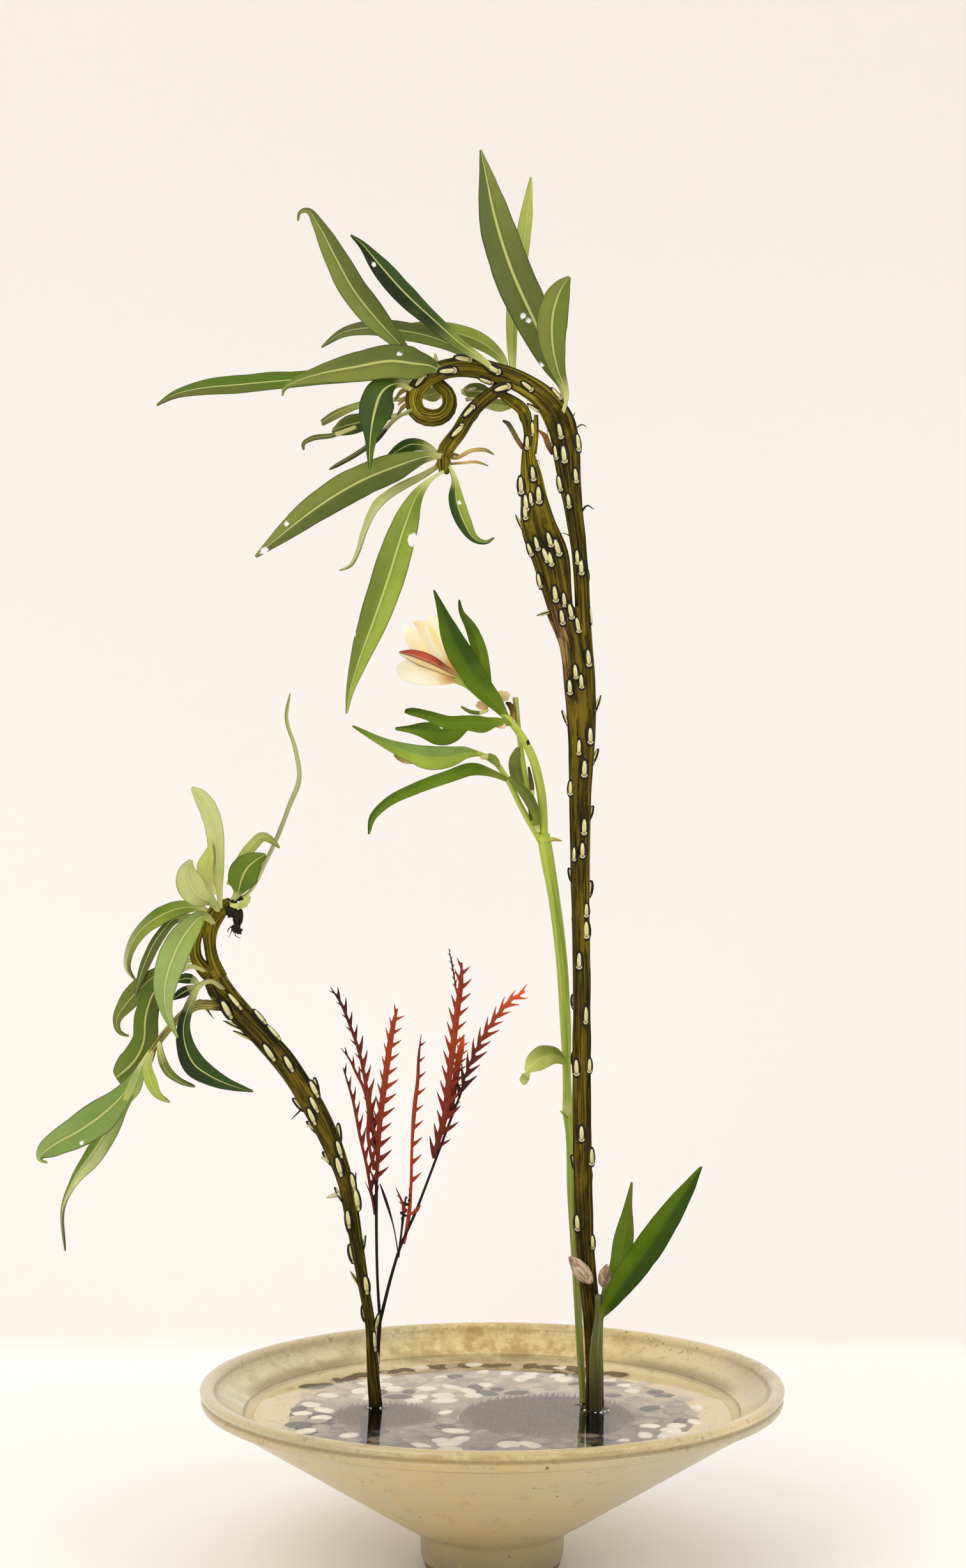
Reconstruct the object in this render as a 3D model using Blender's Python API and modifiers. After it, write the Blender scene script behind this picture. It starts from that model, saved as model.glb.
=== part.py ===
"""Ikebana arrangement: a wide footed stoneware bowl with water, a bed of pebbles and two pin
holders, and standing on the pins a tall and a low fasciated willow stem, two alstroemeria
stems and a red serrated spray.

The frame: the origin is the middle of the bowl's foot, on the surface it stands on. +X is to
the right, +Z is up and -Y is the side it is seen from. Routes are lists of (x, z, near), where
near is how far a point stands out towards the viewer. All lengths in the tables are in
millimetres.
"""
from math import cos, pi, radians, sin

import bmesh
import bpy
from mathutils import Vector

MM = 0.001
GAP = 0.3                      # running clearance between touching pieces
VIEWER = Vector((0, -1, 0))    # the side that leaves and flat stems face
EYE_X, EYE_Z = -4.7, 402.0     # where the viewer's eye is, straight in front
EYE_DISTANCE = 1370.0

# Bowl
RIM_RADIUS = 150.0
RIM_HEIGHT = 95.0
RIM_BAND = 10.0                # height of the ridged band at the rim
WALL = 6.9                     # wall thickness, measured straight down
SLOPE = 0.625                  # rise of the cone for each millimetre outwards
FOOT_RADIUS = 36.5
FOOT_HEIGHT = 17.5
FLOOR = [(0.0, 20.5), (16.0, 21.1), (30.0, 22.9)]   # the inside's dished floor, as (r, z)
BOWL_STEPS = 48

# What lies in the bowl
WATER_LEVEL = 81.0
WATER_BOTTOM = 74.5
PEBBLE_LEVEL = 72.0
KENZAN_SEAT = 54.0             # underside of both pin holders
KENZAN_BASE = 8.0              # thickness of the lead base
PIN_TIP = 74.0
PIN_PITCH = 9.0
PIN_RADIUS = 0.8
KENZANS = {"kenzan_right": (28.0, 0.0, 45.0), "kenzan_left": (-56.0, 0.0, 27.0)}
STEM_FOOT = KENZAN_SEAT + KENZAN_BASE + GAP

LEAF_THICKNESS = 0.8

# Feet of the five stems, as (x, near)
TALL_WILLOW_FOOT = (53.0, 2.0)
LOW_WILLOW_FOOT = (-60.0, 0.0)
TALL_LILY_FOOT = (46.5, -6.0)
SHORT_LILY_FOOT = (53.0, 11.0)
SPRAY_FOOT = (-59.6, -7.0)

# The holes that the five stems fill in the water, as (foot, radius)
WATER_HOLES = [(TALL_WILLOW_FOOT, 6.0), (TALL_LILY_FOOT, 3.0), (SHORT_LILY_FOOT, 4.0),
               (LOW_WILLOW_FOOT, 4.4), (SPRAY_FOOT, 2.0)]

# Fasciated willow stems: (x, z, near, half width, half depth)
TALL_WILLOW = [
    (TALL_WILLOW_FOOT[0], STEM_FOOT, 2, 4.6, 3.6), (52.8, 80, 2, 4.7, 3.6),
    (52.5, 100, 2.5, 4.5, 3.5), (51, 130, 3.5, 4.5, 3.5), (48, 160, 4.5, 4.5, 3.4),
    (46.7, 190, 5.5, 4.5, 3.4), (45.8, 250, 6.5, 4.7, 3.4), (46, 300, 6.5, 4.5, 3.3),
    (45.3, 350, 5.5, 4.8, 3.3), (45.3, 400, 4, 5.8, 3.3), (46, 430, 3, 7, 3.3),
    (45.3, 450, 2.5, 7.8, 3.4), (42.5, 478, 2, 9, 3.4), (39, 492, 2, 11, 3.2),
]
TALL_WILLOW_LEFT = [
    (38, 478, 2, 5, 3), (34, 498, 2, 7, 3), (29.5, 520, 2, 9.5, 3), (24, 534, 2, 9, 3),
    (21.5, 548, 2, 7, 3), (20, 560, 2, 5.5, 2.8), (18.5, 571, 2, 3, 2), (17.5, 585, 2, 1.7, 1.5),
    (14, 595, 1, 1.5, 1.3), (6, 603, 0, 1.4, 1.2),
]
TALL_WILLOW_RIGHT = [
    (46.5, 478, 2, 4, 3), (46.3, 500, 2, 3.8, 3), (44.5, 525, 2, 4, 3), (42, 543, 2, 4.5, 3.1),
    (39.5, 561, 2, 5.8, 3.3), (38, 573, 2, 6.8, 3.5), (34.5, 589, 2, 7.4, 3.7),
    (27, 600, 2, 6.3, 3.8), (15, 608.5, 2, 5.5, 3.8), (0, 614, 2, 5.3, 3.7),
    (-12, 616.5, 2, 5.2, 3.6), (-24, 615.5, 2, 5, 3.6), (-33, 611.5, 2, 4.7, 3.6),
    (-38.5, 606, 1.5, 4.5, 3.6), (-40.5, 599, 1, 4.4, 3.6), (-38, 593, 0.5, 4.4, 3.6),
    (-32, 590.5, 0, 4.4, 3.6), (-25.5, 592, -1, 4.2, 3.4), (-22, 597, -2, 3.8, 3.2),
    (-22.5, 603, -3, 3.2, 2.8), (-26, 607, -4, 2.2, 2.2),
]
TALL_WILLOW_SIDE = [
    (9, 608, 3, 3, 2.6), (1, 603, 4, 3, 2.6), (-9, 595, 4, 2.8, 2.5), (-17, 583, 4, 2.8, 2.5),
    (-24.5, 572, 4, 2.8, 2.5), (-25, 562, 4, 1.8, 1.8),
]
LOW_WILLOW = [
    (LOW_WILLOW_FOOT[0], STEM_FOOT, 0, 3.6, 3), (-60, 80, 0, 3.5, 2.9), (-61.5, 100, 1, 3, 2.7),
    (-63, 125, 2.5, 2.5, 2.3), (-67, 150, 4, 2.8, 2.4), (-71, 175, 5.5, 3.4, 2.6),
    (-75.5, 200, 6, 4, 2.8), (-82, 220, 6, 5.6, 3), (-92, 240, 5, 6.2, 3.1),
    (-101, 258, 4, 6.3, 3.2), (-114, 273, 2.5, 6.4, 3.2), (-127, 286, 1, 7, 3.2),
    (-138, 297, 0, 7.5, 3.2), (-144, 308, 0, 7, 3.1),
]
LOW_WILLOW_STUB = [(-142, 303, 0, 4.5, 2.8), (-150, 315, 0, 3.8, 2.4), (-152, 322, 0, 2.4, 1.8)]
LOW_WILLOW_TOP = [
    (-141, 303, 0, 4.2, 2.8), (-143.5, 318, 0, 3.2, 2.5), (-143, 329, 0, 3.4, 2.5),
    (-139, 337.5, 0, 3.2, 2.4), (-133, 342, 0, 2, 1.6),
]
LOW_WILLOW_SHOOT = [
    (-131, 287, 1, 2.2, 1.8), (-142, 288, 5, 2, 1.7), (-151, 288, 6, 1.7, 1.6),
    (-159, 284, 6, 1.6, 1.5), (-167, 275.5, 6, 1.6, 1.5), (-173, 267.5, 5, 1.6, 1.4),
    (-178, 259.5, 4, 1.3, 1.2),
]

# Round alstroemeria and spray stems: (x, z, near, radius)
TALL_LILY = [
    (TALL_LILY_FOOT[0], STEM_FOOT, -6, 1.7), (47, 80, -6, 1.7), (45.5, 110, -7, 1.9),
    (43.5, 150, -8.5, 2.1), (41.2, 190, -9.5, 2.3), (39.7, 228, -10, 2.5), (39.5, 234, -10, 3),
    (39, 240, -10, 2.6), (38, 280, -9.5, 2.9), (35.2, 320, -8, 3), (31, 350, -7, 3.1),
    (27.5, 370, -6, 3.5), (26.5, 377, -6, 3),
]
TALL_LILY_LIMBS = [
    [(26.8, 374, -6, 2.2), (25, 400, -6, 2.2), (20, 418, -5, 2.1), (13, 430, -4, 2), (6, 438, -3, 1.9),
     (-5, 446, -4, 1.4), (-14, 453.5, -4, 1.4), (-18, 456, -4, 2.5)],
    [(25.5, 374, -5, 1.6), (15, 390, -4, 1.5), (8, 404, -3, 1.4), (0, 414.5, -3, 1.4),
     (-8, 418, -3, 1.3)],
    [(25.5, 375, -9, 1.5), (18.5, 400, -9, 1.4), (15, 420, -9, 1.3), (12, 447, -8, 1.5)],
]
SHORT_LILY = [
    (SHORT_LILY_FOOT[0], STEM_FOOT, 11, 3.2), (53, 80, 11, 3.2), (53.5, 118, 11, 3.1),
    (54.5, 130, 11, 2.2), (54, 141, 12, 1.6),
]
SHORT_LILY_LIMBS = [[(54.8, 129, 11, 1.8), (57, 139, 10.6, 1.6), (58.2, 147, 9.8, 1.4)]]
SPRAY_STALKS = [
    [(SPRAY_FOOT[0], STEM_FOOT, -7, 1.3), (-59, 108, -7, 1.2), (-56.3, 130, -7, 1.1)],
    [(-56.6, 127, -7, 1), (-59, 145, -7, 0.9), (-59.8, 170, -7, 0.9), (-60, 190, -7, 0.8)],
    [(-56.8, 127, -7, 1), (-50, 150, -7, 0.9), (-46, 163, -7, 0.9), (-40, 176, -7, 0.8)],
]

# Spray blades: midrib as (x, z), the length of the thorns along it, how far its plane
# stands in front of the stalks at its base, and how much it leans forward as it rises
THORN_PITCH = 8.0
BLADE_HALF = 0.6               # half the blade's thickness, and its half width between thorns
SPRAY_BLADES = [
    ([(-60, 182), (-64, 203), (-68, 220), (-72, 240), (-77, 256)], 3.6, -0.5, -0.18),
    ([(-60.5, 186), (-62, 212), (-66, 245), (-73, 277), (-83, 297)], 3.6, 0.15, 0.06),
    ([(-60, 180), (-59, 215), (-57, 240), (-52, 274), (-49, 286)], 5.0, 0.5, 0.17),
    ([(-46, 163), (-42, 185), (-41.5, 210), (-40, 230), (-37, 273)], 3.8, -0.3, -0.14),
    ([(-42, 171), (-35, 191), (-27, 218), (-17, 245), (-6, 270), (9, 290), (17, 295)], 3.6, 0.1, 0.0),
    ([(-29, 211), (-24, 235), (-20.5, 268), (-17, 300), (-16, 310)], 5.0, 0.45, 0.12),
]

# Leaves: the turn about the midrib at the base and at the tip, in degrees, how far the tip
# bends out towards the viewer, and the midrib as (x, z, near, width). Each midrib starts inside
# the stem that carries it.
TALL_WILLOW_LEAVES = [
    (10, -10, -12, [(35, 592, 0, 2), (37, 603, -1, 3), (31, 620, 1, 13), (22, 640, 3, 19),
               (10, 667, 5, 20.5), (0, 700, 4, 15), (-3, 715, 3, 8), (-6, 729, 2, 1)]),
    (-15, 10, 22, [(36, 592, 4.5, 2), (38.5, 602, 6.5, 2.6), (34, 615, 10, 8), (31, 630, 12, 14),
               (31.5, 645, 13, 15.5), (36, 658, 13, 9), (40, 663.5, 13, 1.5)]),
    (25, 35, -30, [(11, 609, 0, 2), (10.5, 618, -4, 4), (10.5, 640, -7, 7.5), (14, 668, -9, 9.5),
              (18, 695, -9, 8), (20, 715, -8, 1)]),
    (15, -15, 14, [(-32, 612, 1.5, 2), (-40, 620, 2, 3), (-48, 629, 3, 7), (-60, 642, 4, 13),
               (-71, 656, 5, 14), (-81, 674, 4, 12), (-90, 691, 3, 6), (-95, 698, 2, 3),
               (-99, 697, 2, 2), (-100, 692, 2, 1)]),
    (30, 10, 25, [(3, 613, 3, 2), (-3, 619, 6, 3.6), (-16, 628.5, 8, 7), (-30, 641, 9, 9.5),
              (-45, 655, 8, 12), (-58, 669.5, 7, 10), (-67, 680, 6, 4), (-73, 685, 6, 1)]),
    (-20, 20, -22, [(-6, 615, 0, 2), (-14, 624, -5, 5), (-30, 632, -7, 9), (-46, 635.5, -8, 10),
               (-64, 637, -8, 8), (-78, 634, -7, 5), (-88, 627, -6, 1)]),
    (-30, -10, -15, [(8, 611, -0.5, 2), (5, 621, -8, 5), (-6, 630, -13, 9), (-20, 635, -15, 9),
                (-36, 638, -15, 5), (-48, 638, -15, 1)]),
    (-10, 15, 25, [(-27, 615, 4, 2.2), (-33, 620, 9, 6), (-50, 620, 11, 17), (-70, 617, 11, 15.5),
               (-90, 613, 10, 9), (-102, 609, 9, 4), (-107, 606, 8, 2), (-108, 602, 8, 1)]),
    (35, 10, -20, [(-38, 607, -1, 2.4), (-50, 611, -4, 5), (-80, 611.5, -4, 9), (-110, 609.5, -2, 10.5),
              (-132, 607.5, 0, 11), (-152, 605.5, 1, 8), (-165, 602, 1, 4), (-173, 597, 1, 1)]),
    (-25, 25, 12, [(-41, 605, 3, 2), (-49, 607.5, 9, 4), (-57, 603, 13, 13), (-61.5, 594, 14, 15),
               (-62.5, 582, 13, 8), (-63, 564, 12, 1)]),
    (40, 30, -8, [(-40.5, 600, -1, 1.8), (-54, 600, -8, 2.5), (-70, 597, -9, 4.5),
              (-81, 592.5, -9, 5.5), (-89, 587, -9, 2)]),
    (-20, 20, -18, [(-37.5, 594, -1, 1.8), (-52, 591, -13, 3), (-67, 588, -15, 9), (-80, 583.5, -15, 7),
               (-92, 580, -14, 3.5), (-98, 576, -14, 1)]),
    (60, 50, 0, [(-39.5, 596, 2.5, 1.6), (-50, 590, 5, 2), (-60, 579.5, 6, 5), (-71, 571.5, 6, 4),
              (-84, 564, 6, 1)]),
    (-15, 10, 28, [(-23.5, 571, 4.5, 2), (-32, 571, 7, 5), (-50, 565.5, 9, 14), (-66, 559, 10, 16.5),
               (-82, 550, 10, 16), (-97, 539.5, 9, 13), (-110, 529, 8, 8), (-122, 519, 7, 1.5)]),
    (30, 60, -14, [(-24.5, 568, 2.5, 1.6), (-35, 561.5, -2, 4), (-50, 554, -4, 7), (-60, 546, -4, 7.5),
              (-66, 533, -3, 5), (-69.5, 521, -2, 3), (-73, 514.5, -2, 2), (-79, 512, -2, 1)]),
    (-12, 12, 10, [(-24.5, 563.5, 5, 1.6), (-31, 559.5, 11, 2.2), (-38, 552, 14, 6), (-44, 538, 15, 13),
               (-48, 526, 16, 16), (-53.5, 508, 16, 17), (-60, 489, 16, 15.5), (-69, 464, 15, 9),
               (-74, 446, 14, 3), (-75, 438, 14, 1)]),
    (-30, 30, -12, [(-23.5, 568, 3.5, 1.6), (-19.5, 560, 4, 3), (-18.5, 549, 5, 6.5), (-14.5, 537, 6, 8),
               (-8.5, 528, 6, 4), (-3, 526.5, 6, 2), (1, 529, 6, 1)]),
]
LOW_WILLOW_LEAVES = [
    (20, -30, -12, [(-140, 337, 1.5, 2), (-140.5, 347, 4, 3.5), (-142, 364, 6, 8), (-143.5, 380, 6, 9.5),
               (-147, 390, 6, 10), (-152, 397, 5, 7), (-155, 400, 5, 2)]),
    (-20, 35, 8, [(-141, 336.5, 2, 2), (-145, 341.5, 8, 6), (-151.5, 344.5, 10, 13),
               (-156, 351.5, 11, 14), (-157, 358.5, 11, 8), (-155, 363, 11, 2)]),
    (25, -10, 10, [(-135, 340.5, 1, 2), (-131, 346, 2, 5), (-129.5, 352, 2, 14), (-126, 359, 2, 15),
               (-120.5, 363.5, 1, 8), (-116.5, 365.5, 1, 1.5)]),
    (72, 78, -10, [(-134, 341.5, -0.8, 1.8), (-127, 344.5, -6, 2.4), (-116, 363, -7, 5), (-105, 388, -7, 7),
              (-99, 406, -7, 8), (-101, 420, -7, 6), (-106, 436, -7, 4), (-104, 449, -7, 1)]),
    (-25, 40, -20, [(-142, 332, -1, 2), (-150, 338, -5, 4), (-161, 338, -6, 8), (-171, 334, -6, 9),
               (-180, 327.5, -6, 7.5), (-187, 316, -6, 5.5), (-188, 307, -6, 4), (-184, 301, -6, 1)]),
    (-15, 15, 12, [(-143, 330, 1.5, 2), (-149, 334, 9, 6), (-158, 325, 13, 13), (-165, 311, 15, 15),
               (-168.5, 298, 15, 12.5), (-168, 286, 14, 7), (-162, 271, 12, 1)]),
    (35, 20, -10, [(-143, 325, -1, 2), (-152, 333, -10, 3), (-163, 332.5, -12, 5), (-172, 323, -12, 6.5),
              (-179, 309, -12, 6), (-184, 292, -12, 1)]),
    (-35, 10, -22, [(-144, 309, -1.5, 2), (-156, 311, -12, 2.4), (-170, 306, -17, 6), (-181, 297, -18, 11),
               (-188, 287, -17, 9), (-190, 279, -16, 3.5), (-187, 271, -16, 1)]),
    (-10, 20, -6, [(-145, 304, 1.5, 2), (-154, 308, 2, 2.4), (-164, 304.5, -2, 5), (-175, 295, -5, 10),
               (-180.5, 280, -5, 14), (-184.5, 265, -5, 16), (-189, 253, -5, 12), (-191, 244, -5, 2)]),
    (-15, 15, 25, [(-176.2, 262.5, 4.2, 2), (-183, 252, 6.5, 5), (-191, 241, 6, 9), (-203, 230, 7, 15),
               (-215, 222, 7, 15.5), (-226, 215.5, 6, 11), (-234, 208.5, 5, 2)]),
    (25, 50, -12, [(-177.3, 260.5, 3.2, 1.6), (-182, 249, -1, 4), (-190, 238, 0, 8), (-199, 222, 0, 13),
              (-207, 210, 0, 13), (-215, 199, 0, 8), (-221, 184, 0, 2.5), (-220, 161, 0, 1)]),
    (20, 40, 6, [(-171.5, 269.5, 5.5, 1.8), (-170.5, 261, 8, 5), (-167.5, 254, 8, 6),
              (-161, 249, 7, 4), (-153, 246, 7, 1)]),
    (-30, 20, 10, [(-175, 264.5, 5, 1.8), (-177.5, 256, 10.5, 5), (-176, 249, 12, 6.5),
               (-172, 241.5, 12, 4), (-166, 238, 11, 1)]),
    (-40, 20, 14, [(-138, 296, 2, 2), (-146, 300.5, 10, 2.4), (-152, 297.5, 13, 3), (-158, 288, 14, 5),
               (-161, 275, 13.5, 8), (-159.5, 262, 13, 11.5), (-153, 252, 12, 12.5),
               (-142, 247, 11, 8), (-132, 244.5, 11, 4), (-123, 243.5, 11, 1)]),
]
TALL_LILY_LEAVES = [
    (-25, 10, 12, [(7.5, 436, -3, 3), (2, 443, 1, 8), (-7, 453.5, 4, 12), (-15, 466, 6, 13.5),
               (-21, 478, 6, 11), (-25, 489, 5, 6), (-30, 502, 4, 1)]),
    (-35, 30, -12, [(5, 439, -4, 2.4), (-2, 450, -8, 5), (-5, 461, -9, 8), (-7, 472, -9, 8),
               (-11, 483, -8, 6), (-16, 491, -8, 2.5), (-17, 497, -8, 1)]),
    (20, -20, 15, [(10, 433.5, -2.5, 2.4), (0, 434, 3, 6), (-10, 434, 5, 8.5), (-22, 434.5, 6, 7),
               (-34, 437.5, 5, 5), (-45, 440, 4, 2)]),
    (-25, 25, -10, [(11.5, 431, -5, 2.4), (-2, 428.5, -8, 3.5), (-17, 429, -8, 8), (-27, 428, -7, 12.5),
               (-37, 430, -6, 7), (-49, 430, -6, 1.5)]),
    (15, -20, -10, [(-6, 417.5, -3, 2), (-13, 418, -1, 6), (-22, 416, 1, 11), (-32, 415.5, 2, 12.5),
               (-43, 418.5, 2, 9), (-56, 423.5, 1, 5), (-72, 432, 0, 1)]),
    (-25, 25, 15, [(8, 404, -2.5, 2), (0, 407.5, 2, 4), (-10, 409.5, 4, 7), (-22, 406, 5, 6.5),
               (-40, 399.5, 5, 6), (-54, 392.5, 4, 5), (-62, 384, 3, 3.5), (-63.5, 376, 3, 1)]),
    (20, 30, 0, [(22.5, 379, -4.5, 2), (22.5, 386, 2, 4.5), (18.5, 395.5, 2, 6.5), (13, 401.5, 1, 4.5),
              (8.5, 405.5, 3, 1.5)]),
    (30, -20, 8, [(38.5, 258, -9, 2.2), (33, 262, -4, 9), (26, 261, 0, 12), (20, 256, 3, 9),
               (16, 250, 2, 4)]),
]
SHORT_LILY_LEAVES = [
    (-20, 15, 22, [(54.5, 126, 11.5, 2.4), (59, 132, 13, 6), (66, 143, 14, 12), (78, 160, 14, 14.5),
               (90, 178, 13, 13), (100, 193, 12, 8), (108, 205, 12, 1)]),
    (25, -20, -14, [(54.8, 129, 9.8, 2.2), (59, 139, 6, 5), (65, 152, 5, 9.5), (68, 168, 5, 10.5),
               (70, 184, 5, 4.5), (72, 197, 5, 1)]),
]

# Closed flowers on the short alstroemeria: x, z, near, length, width, and lean in degrees
SHORT_LILY_BUDS = {
    "faded_flower": (48.5, 148, 13, 19, 8, -44),
    "closed_bud": (58.5, 150, 9.5, 11, 6.5, 12),
}

# Alstroemeria flower: a trumpet of six tepals on the end of its stalk
FLOWER_THROAT = (-18.0, 456.0, -4.0)
FLOWER_TILT = 154.0            # the trumpet's axis, in degrees from +X towards +Z
TEPAL = [(-1.0, 2.2, 1.4), (6, 4.6, 2.8), (14, 7, 5.5), (22, 10, 9.0), (29, 14, 6.5), (33, 16, 1.6)]
INNER_TEPAL_DROP = 1.4         # how much closer to the axis the three inner tepals lie


# ---------------------------------------------------------------- helpers

def clear_scene():
    for old in list(bpy.data.objects):
        bpy.data.objects.remove(old, do_unlink=True)


def collection(name):
    made = bpy.data.collections.new(name)
    bpy.context.scene.collection.children.link(made)
    return made


def material(name, colour, roughness, metallic=0.0):
    made = bpy.data.materials.new(name)
    made.use_nodes = True
    shader = made.node_tree.nodes["Principled BSDF"]
    shader.inputs["Base Color"].default_value = (*colour, 1)
    shader.inputs["Roughness"].default_value = roughness
    shader.inputs["Metallic"].default_value = metallic
    return made


def point(x, z, near=0.0):
    """A place in the arrangement, in metres."""
    return Vector((x, -near, z)) * MM


def seen(x, z, near):
    """A place that lines up with (x, z) for the viewer, however near it stands: the leaves are
    composed for one viewpoint, as the arrangement is."""
    shrink = 1 - near / EYE_DISTANCE
    return point(EYE_X + (x - EYE_X) * shrink, EYE_Z + (z - EYE_Z) * shrink, near)


def finish(obj, home, mat=None):
    home.objects.link(obj)
    if home is CUTTERS:
        obj.hide_render = True
        obj.display_type = "WIRE"
    if mat:
        obj.data.materials.append(mat)
    return obj


def from_bmesh(name, bm, home, mat=None):
    mesh = bpy.data.meshes.new(name)
    bm.to_mesh(mesh)
    bm.free()
    return finish(bpy.data.objects.new(name, mesh), home, mat)


def boolean(obj, other, operation):
    mod = obj.modifiers.new(operation.lower(), "BOOLEAN")
    mod.operation = operation
    mod.object = other


def directions(centres):
    """The way a route runs at each of its points."""
    ends = [centres[0], *centres, centres[-1]]
    return [(ends[i + 2] - ends[i]).normalized() for i in range(len(centres))]


def cylinder(name, x, near, radius, low, high, home, mat=None, sides=32):
    """An upright cylinder from one height to another."""
    bm = bmesh.new()
    bmesh.ops.create_cone(bm, cap_ends=True, segments=sides, radius1=radius * MM,
                          radius2=radius * MM, depth=(high - low) * MM)
    obj = from_bmesh(name, bm, home, mat)
    obj.location = point(x, (low + high) / 2, near)
    return obj


def turned(name, profile, mat):
    """A turned body from an (r, z) profile that runs down its outer side."""
    mesh = bpy.data.meshes.new(name)
    mesh.from_pydata([(r * MM, 0, z * MM) for r, z in profile],
                     [(i, i + 1) for i in range(len(profile) - 1)], [])
    obj = finish(bpy.data.objects.new(name, mesh), PARTS, mat)
    screw = obj.modifiers.new("turn", "SCREW")
    screw.axis = "Z"
    screw.steps = screw.render_steps = BOWL_STEPS
    screw.use_merge_vertices = True
    screw.merge_threshold = 0.00001
    return obj


# ---------------------------------------------------------------- bowl, water, pebbles, pin holders

def cone_radius(z, wall=0.0):
    """Radius of the bowl's outer cone at a height, or of its inner cone for the full wall."""
    return FOOT_RADIUS + 0.9 + (z - FOOT_HEIGHT - wall) / SLOPE


def bowl():
    inner_rim = cone_radius(RIM_HEIGHT - 4, WALL)
    profile = [
        *FLOOR, (cone_radius(36, WALL), 36), (cone_radius(60, WALL), 60), (cone_radius(81, WALL), 81),
        (inner_rim, RIM_HEIGHT - 4), (RIM_RADIUS - 6.5, RIM_HEIGHT - 1), (RIM_RADIUS - 4, RIM_HEIGHT),
        (RIM_RADIUS - 1.2, RIM_HEIGHT - 0.6), (RIM_RADIUS, RIM_HEIGHT - 2.4),
        (RIM_RADIUS - 1, RIM_HEIGHT - 4.4), (RIM_RADIUS - 1.4, RIM_HEIGHT - 5.2),
        (RIM_RADIUS - 0.4, RIM_HEIGHT - 7), (RIM_RADIUS - 1.8, RIM_HEIGHT - RIM_BAND + 0.6),
        (RIM_RADIUS - 4.6, RIM_HEIGHT - RIM_BAND - 0.4),
        (cone_radius(60), 60), (cone_radius(36), 36), (cone_radius(FOOT_HEIGHT + 1.6), FOOT_HEIGHT + 1.6),
        (FOOT_RADIUS + 0.6, FOOT_HEIGHT - 0.8), (FOOT_RADIUS + 0.4, 9), (FOOT_RADIUS, 4.2),
        (FOOT_RADIUS - 1.2, 3.4), (FOOT_RADIUS - 1.4, 0.8), (FOOT_RADIUS - 2.2, 0), (0, 0),
    ]
    turned("bowl", profile, material("glazed stoneware", (0.55, 0.47, 0.3), 0.25))


def filling(name, bottom, high, mat):
    """A level layer in the bowl's inner cone, from its underside, an (r, z) list, to a height."""
    profile = [(0, high), (cone_radius(high, WALL) - GAP, high), *bottom]
    return turned(name, profile, mat)


def pebble_bed():
    floor = [(r, z + 1.5 * GAP) for r, z in reversed(FLOOR)]
    bed = filling("pebble_bed", [(cone_radius(36, WALL) - GAP, 36), *floor], PEBBLE_LEVEL,
                  material("river pebbles", (0.6, 0.56, 0.48), 0.5))
    for name, (x, near, radius) in KENZANS.items():
        pocket = cylinder(name + " pocket", x, near, radius + GAP, KENZAN_SEAT - GAP, WATER_LEVEL,
                          CUTTERS)
        boolean(bed, pocket, "DIFFERENCE")


def pin_places(x, near, radius, stem):
    """The square grid of pins on a holder, laid out from the foot of the stem that it carries."""
    reach = int(2 * radius / PIN_PITCH) + 1
    for i in range(-reach, reach + 1):
        for j in range(-reach, reach + 1):
            px, pn = stem[0] + i * PIN_PITCH, stem[1] + j * PIN_PITCH
            if (px - x) ** 2 + (pn - near) ** 2 < (radius - 3.5) ** 2:
                yield px, pn


def pins(name, places, grow=0.0):
    """Four-sided pins, from inside the lead base up to their points."""
    bm = bmesh.new()
    root = KENZAN_SEAT + KENZAN_BASE / 2
    height = PIN_TIP + 4 * grow - root
    for x, near in places:
        made = bmesh.ops.create_cone(bm, cap_ends=True, segments=4, depth=height * MM,
                                     radius1=(PIN_RADIUS + grow) * MM, radius2=0.12 * MM)
        bmesh.ops.translate(bm, verts=made["verts"], vec=point(x, root + height / 2, near))
    return from_bmesh(name, bm, CUTTERS)


def kenzan(name, stem, mat):
    x, near, radius = KENZANS[name]
    places = list(pin_places(x, near, radius, stem))
    base = cylinder(name, x, near, radius, KENZAN_SEAT, KENZAN_SEAT + KENZAN_BASE, PARTS, mat)
    boolean(base, pins(name + " pins", places), "UNION")
    return pins(name + " pin holes", places, grow=GAP)


# ---------------------------------------------------------------- stems

def loft(name, sections, sides, home, mat=None, grow=0.0):
    """A stem lofted through flattened sections (x, z, near, half width, half depth)."""
    centres = [point(*s[:3]) for s in sections]
    bm = bmesh.new()
    rings = []
    for centre, along, section in zip(centres, directions(centres), sections):
        across = along.cross(VIEWER).normalized()
        out = across.cross(along)
        wide, deep = (section[3] + grow) * MM, (section[4] + grow) * MM
        angles = [2 * pi * i / sides for i in range(sides)]
        rings.append([bm.verts.new(centre + across * cos(a) * wide + out * sin(a) * deep)
                      for a in angles])
    for low, high in zip(rings, rings[1:]):
        for i in range(sides):
            bm.faces.new((low[i - 1], low[i], high[i], high[i - 1]))
    bm.faces.new(rings[0])
    bm.faces.new(rings[-1])
    bmesh.ops.recalc_face_normals(bm, faces=bm.faces)
    return from_bmesh(name, bm, home, mat)


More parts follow.
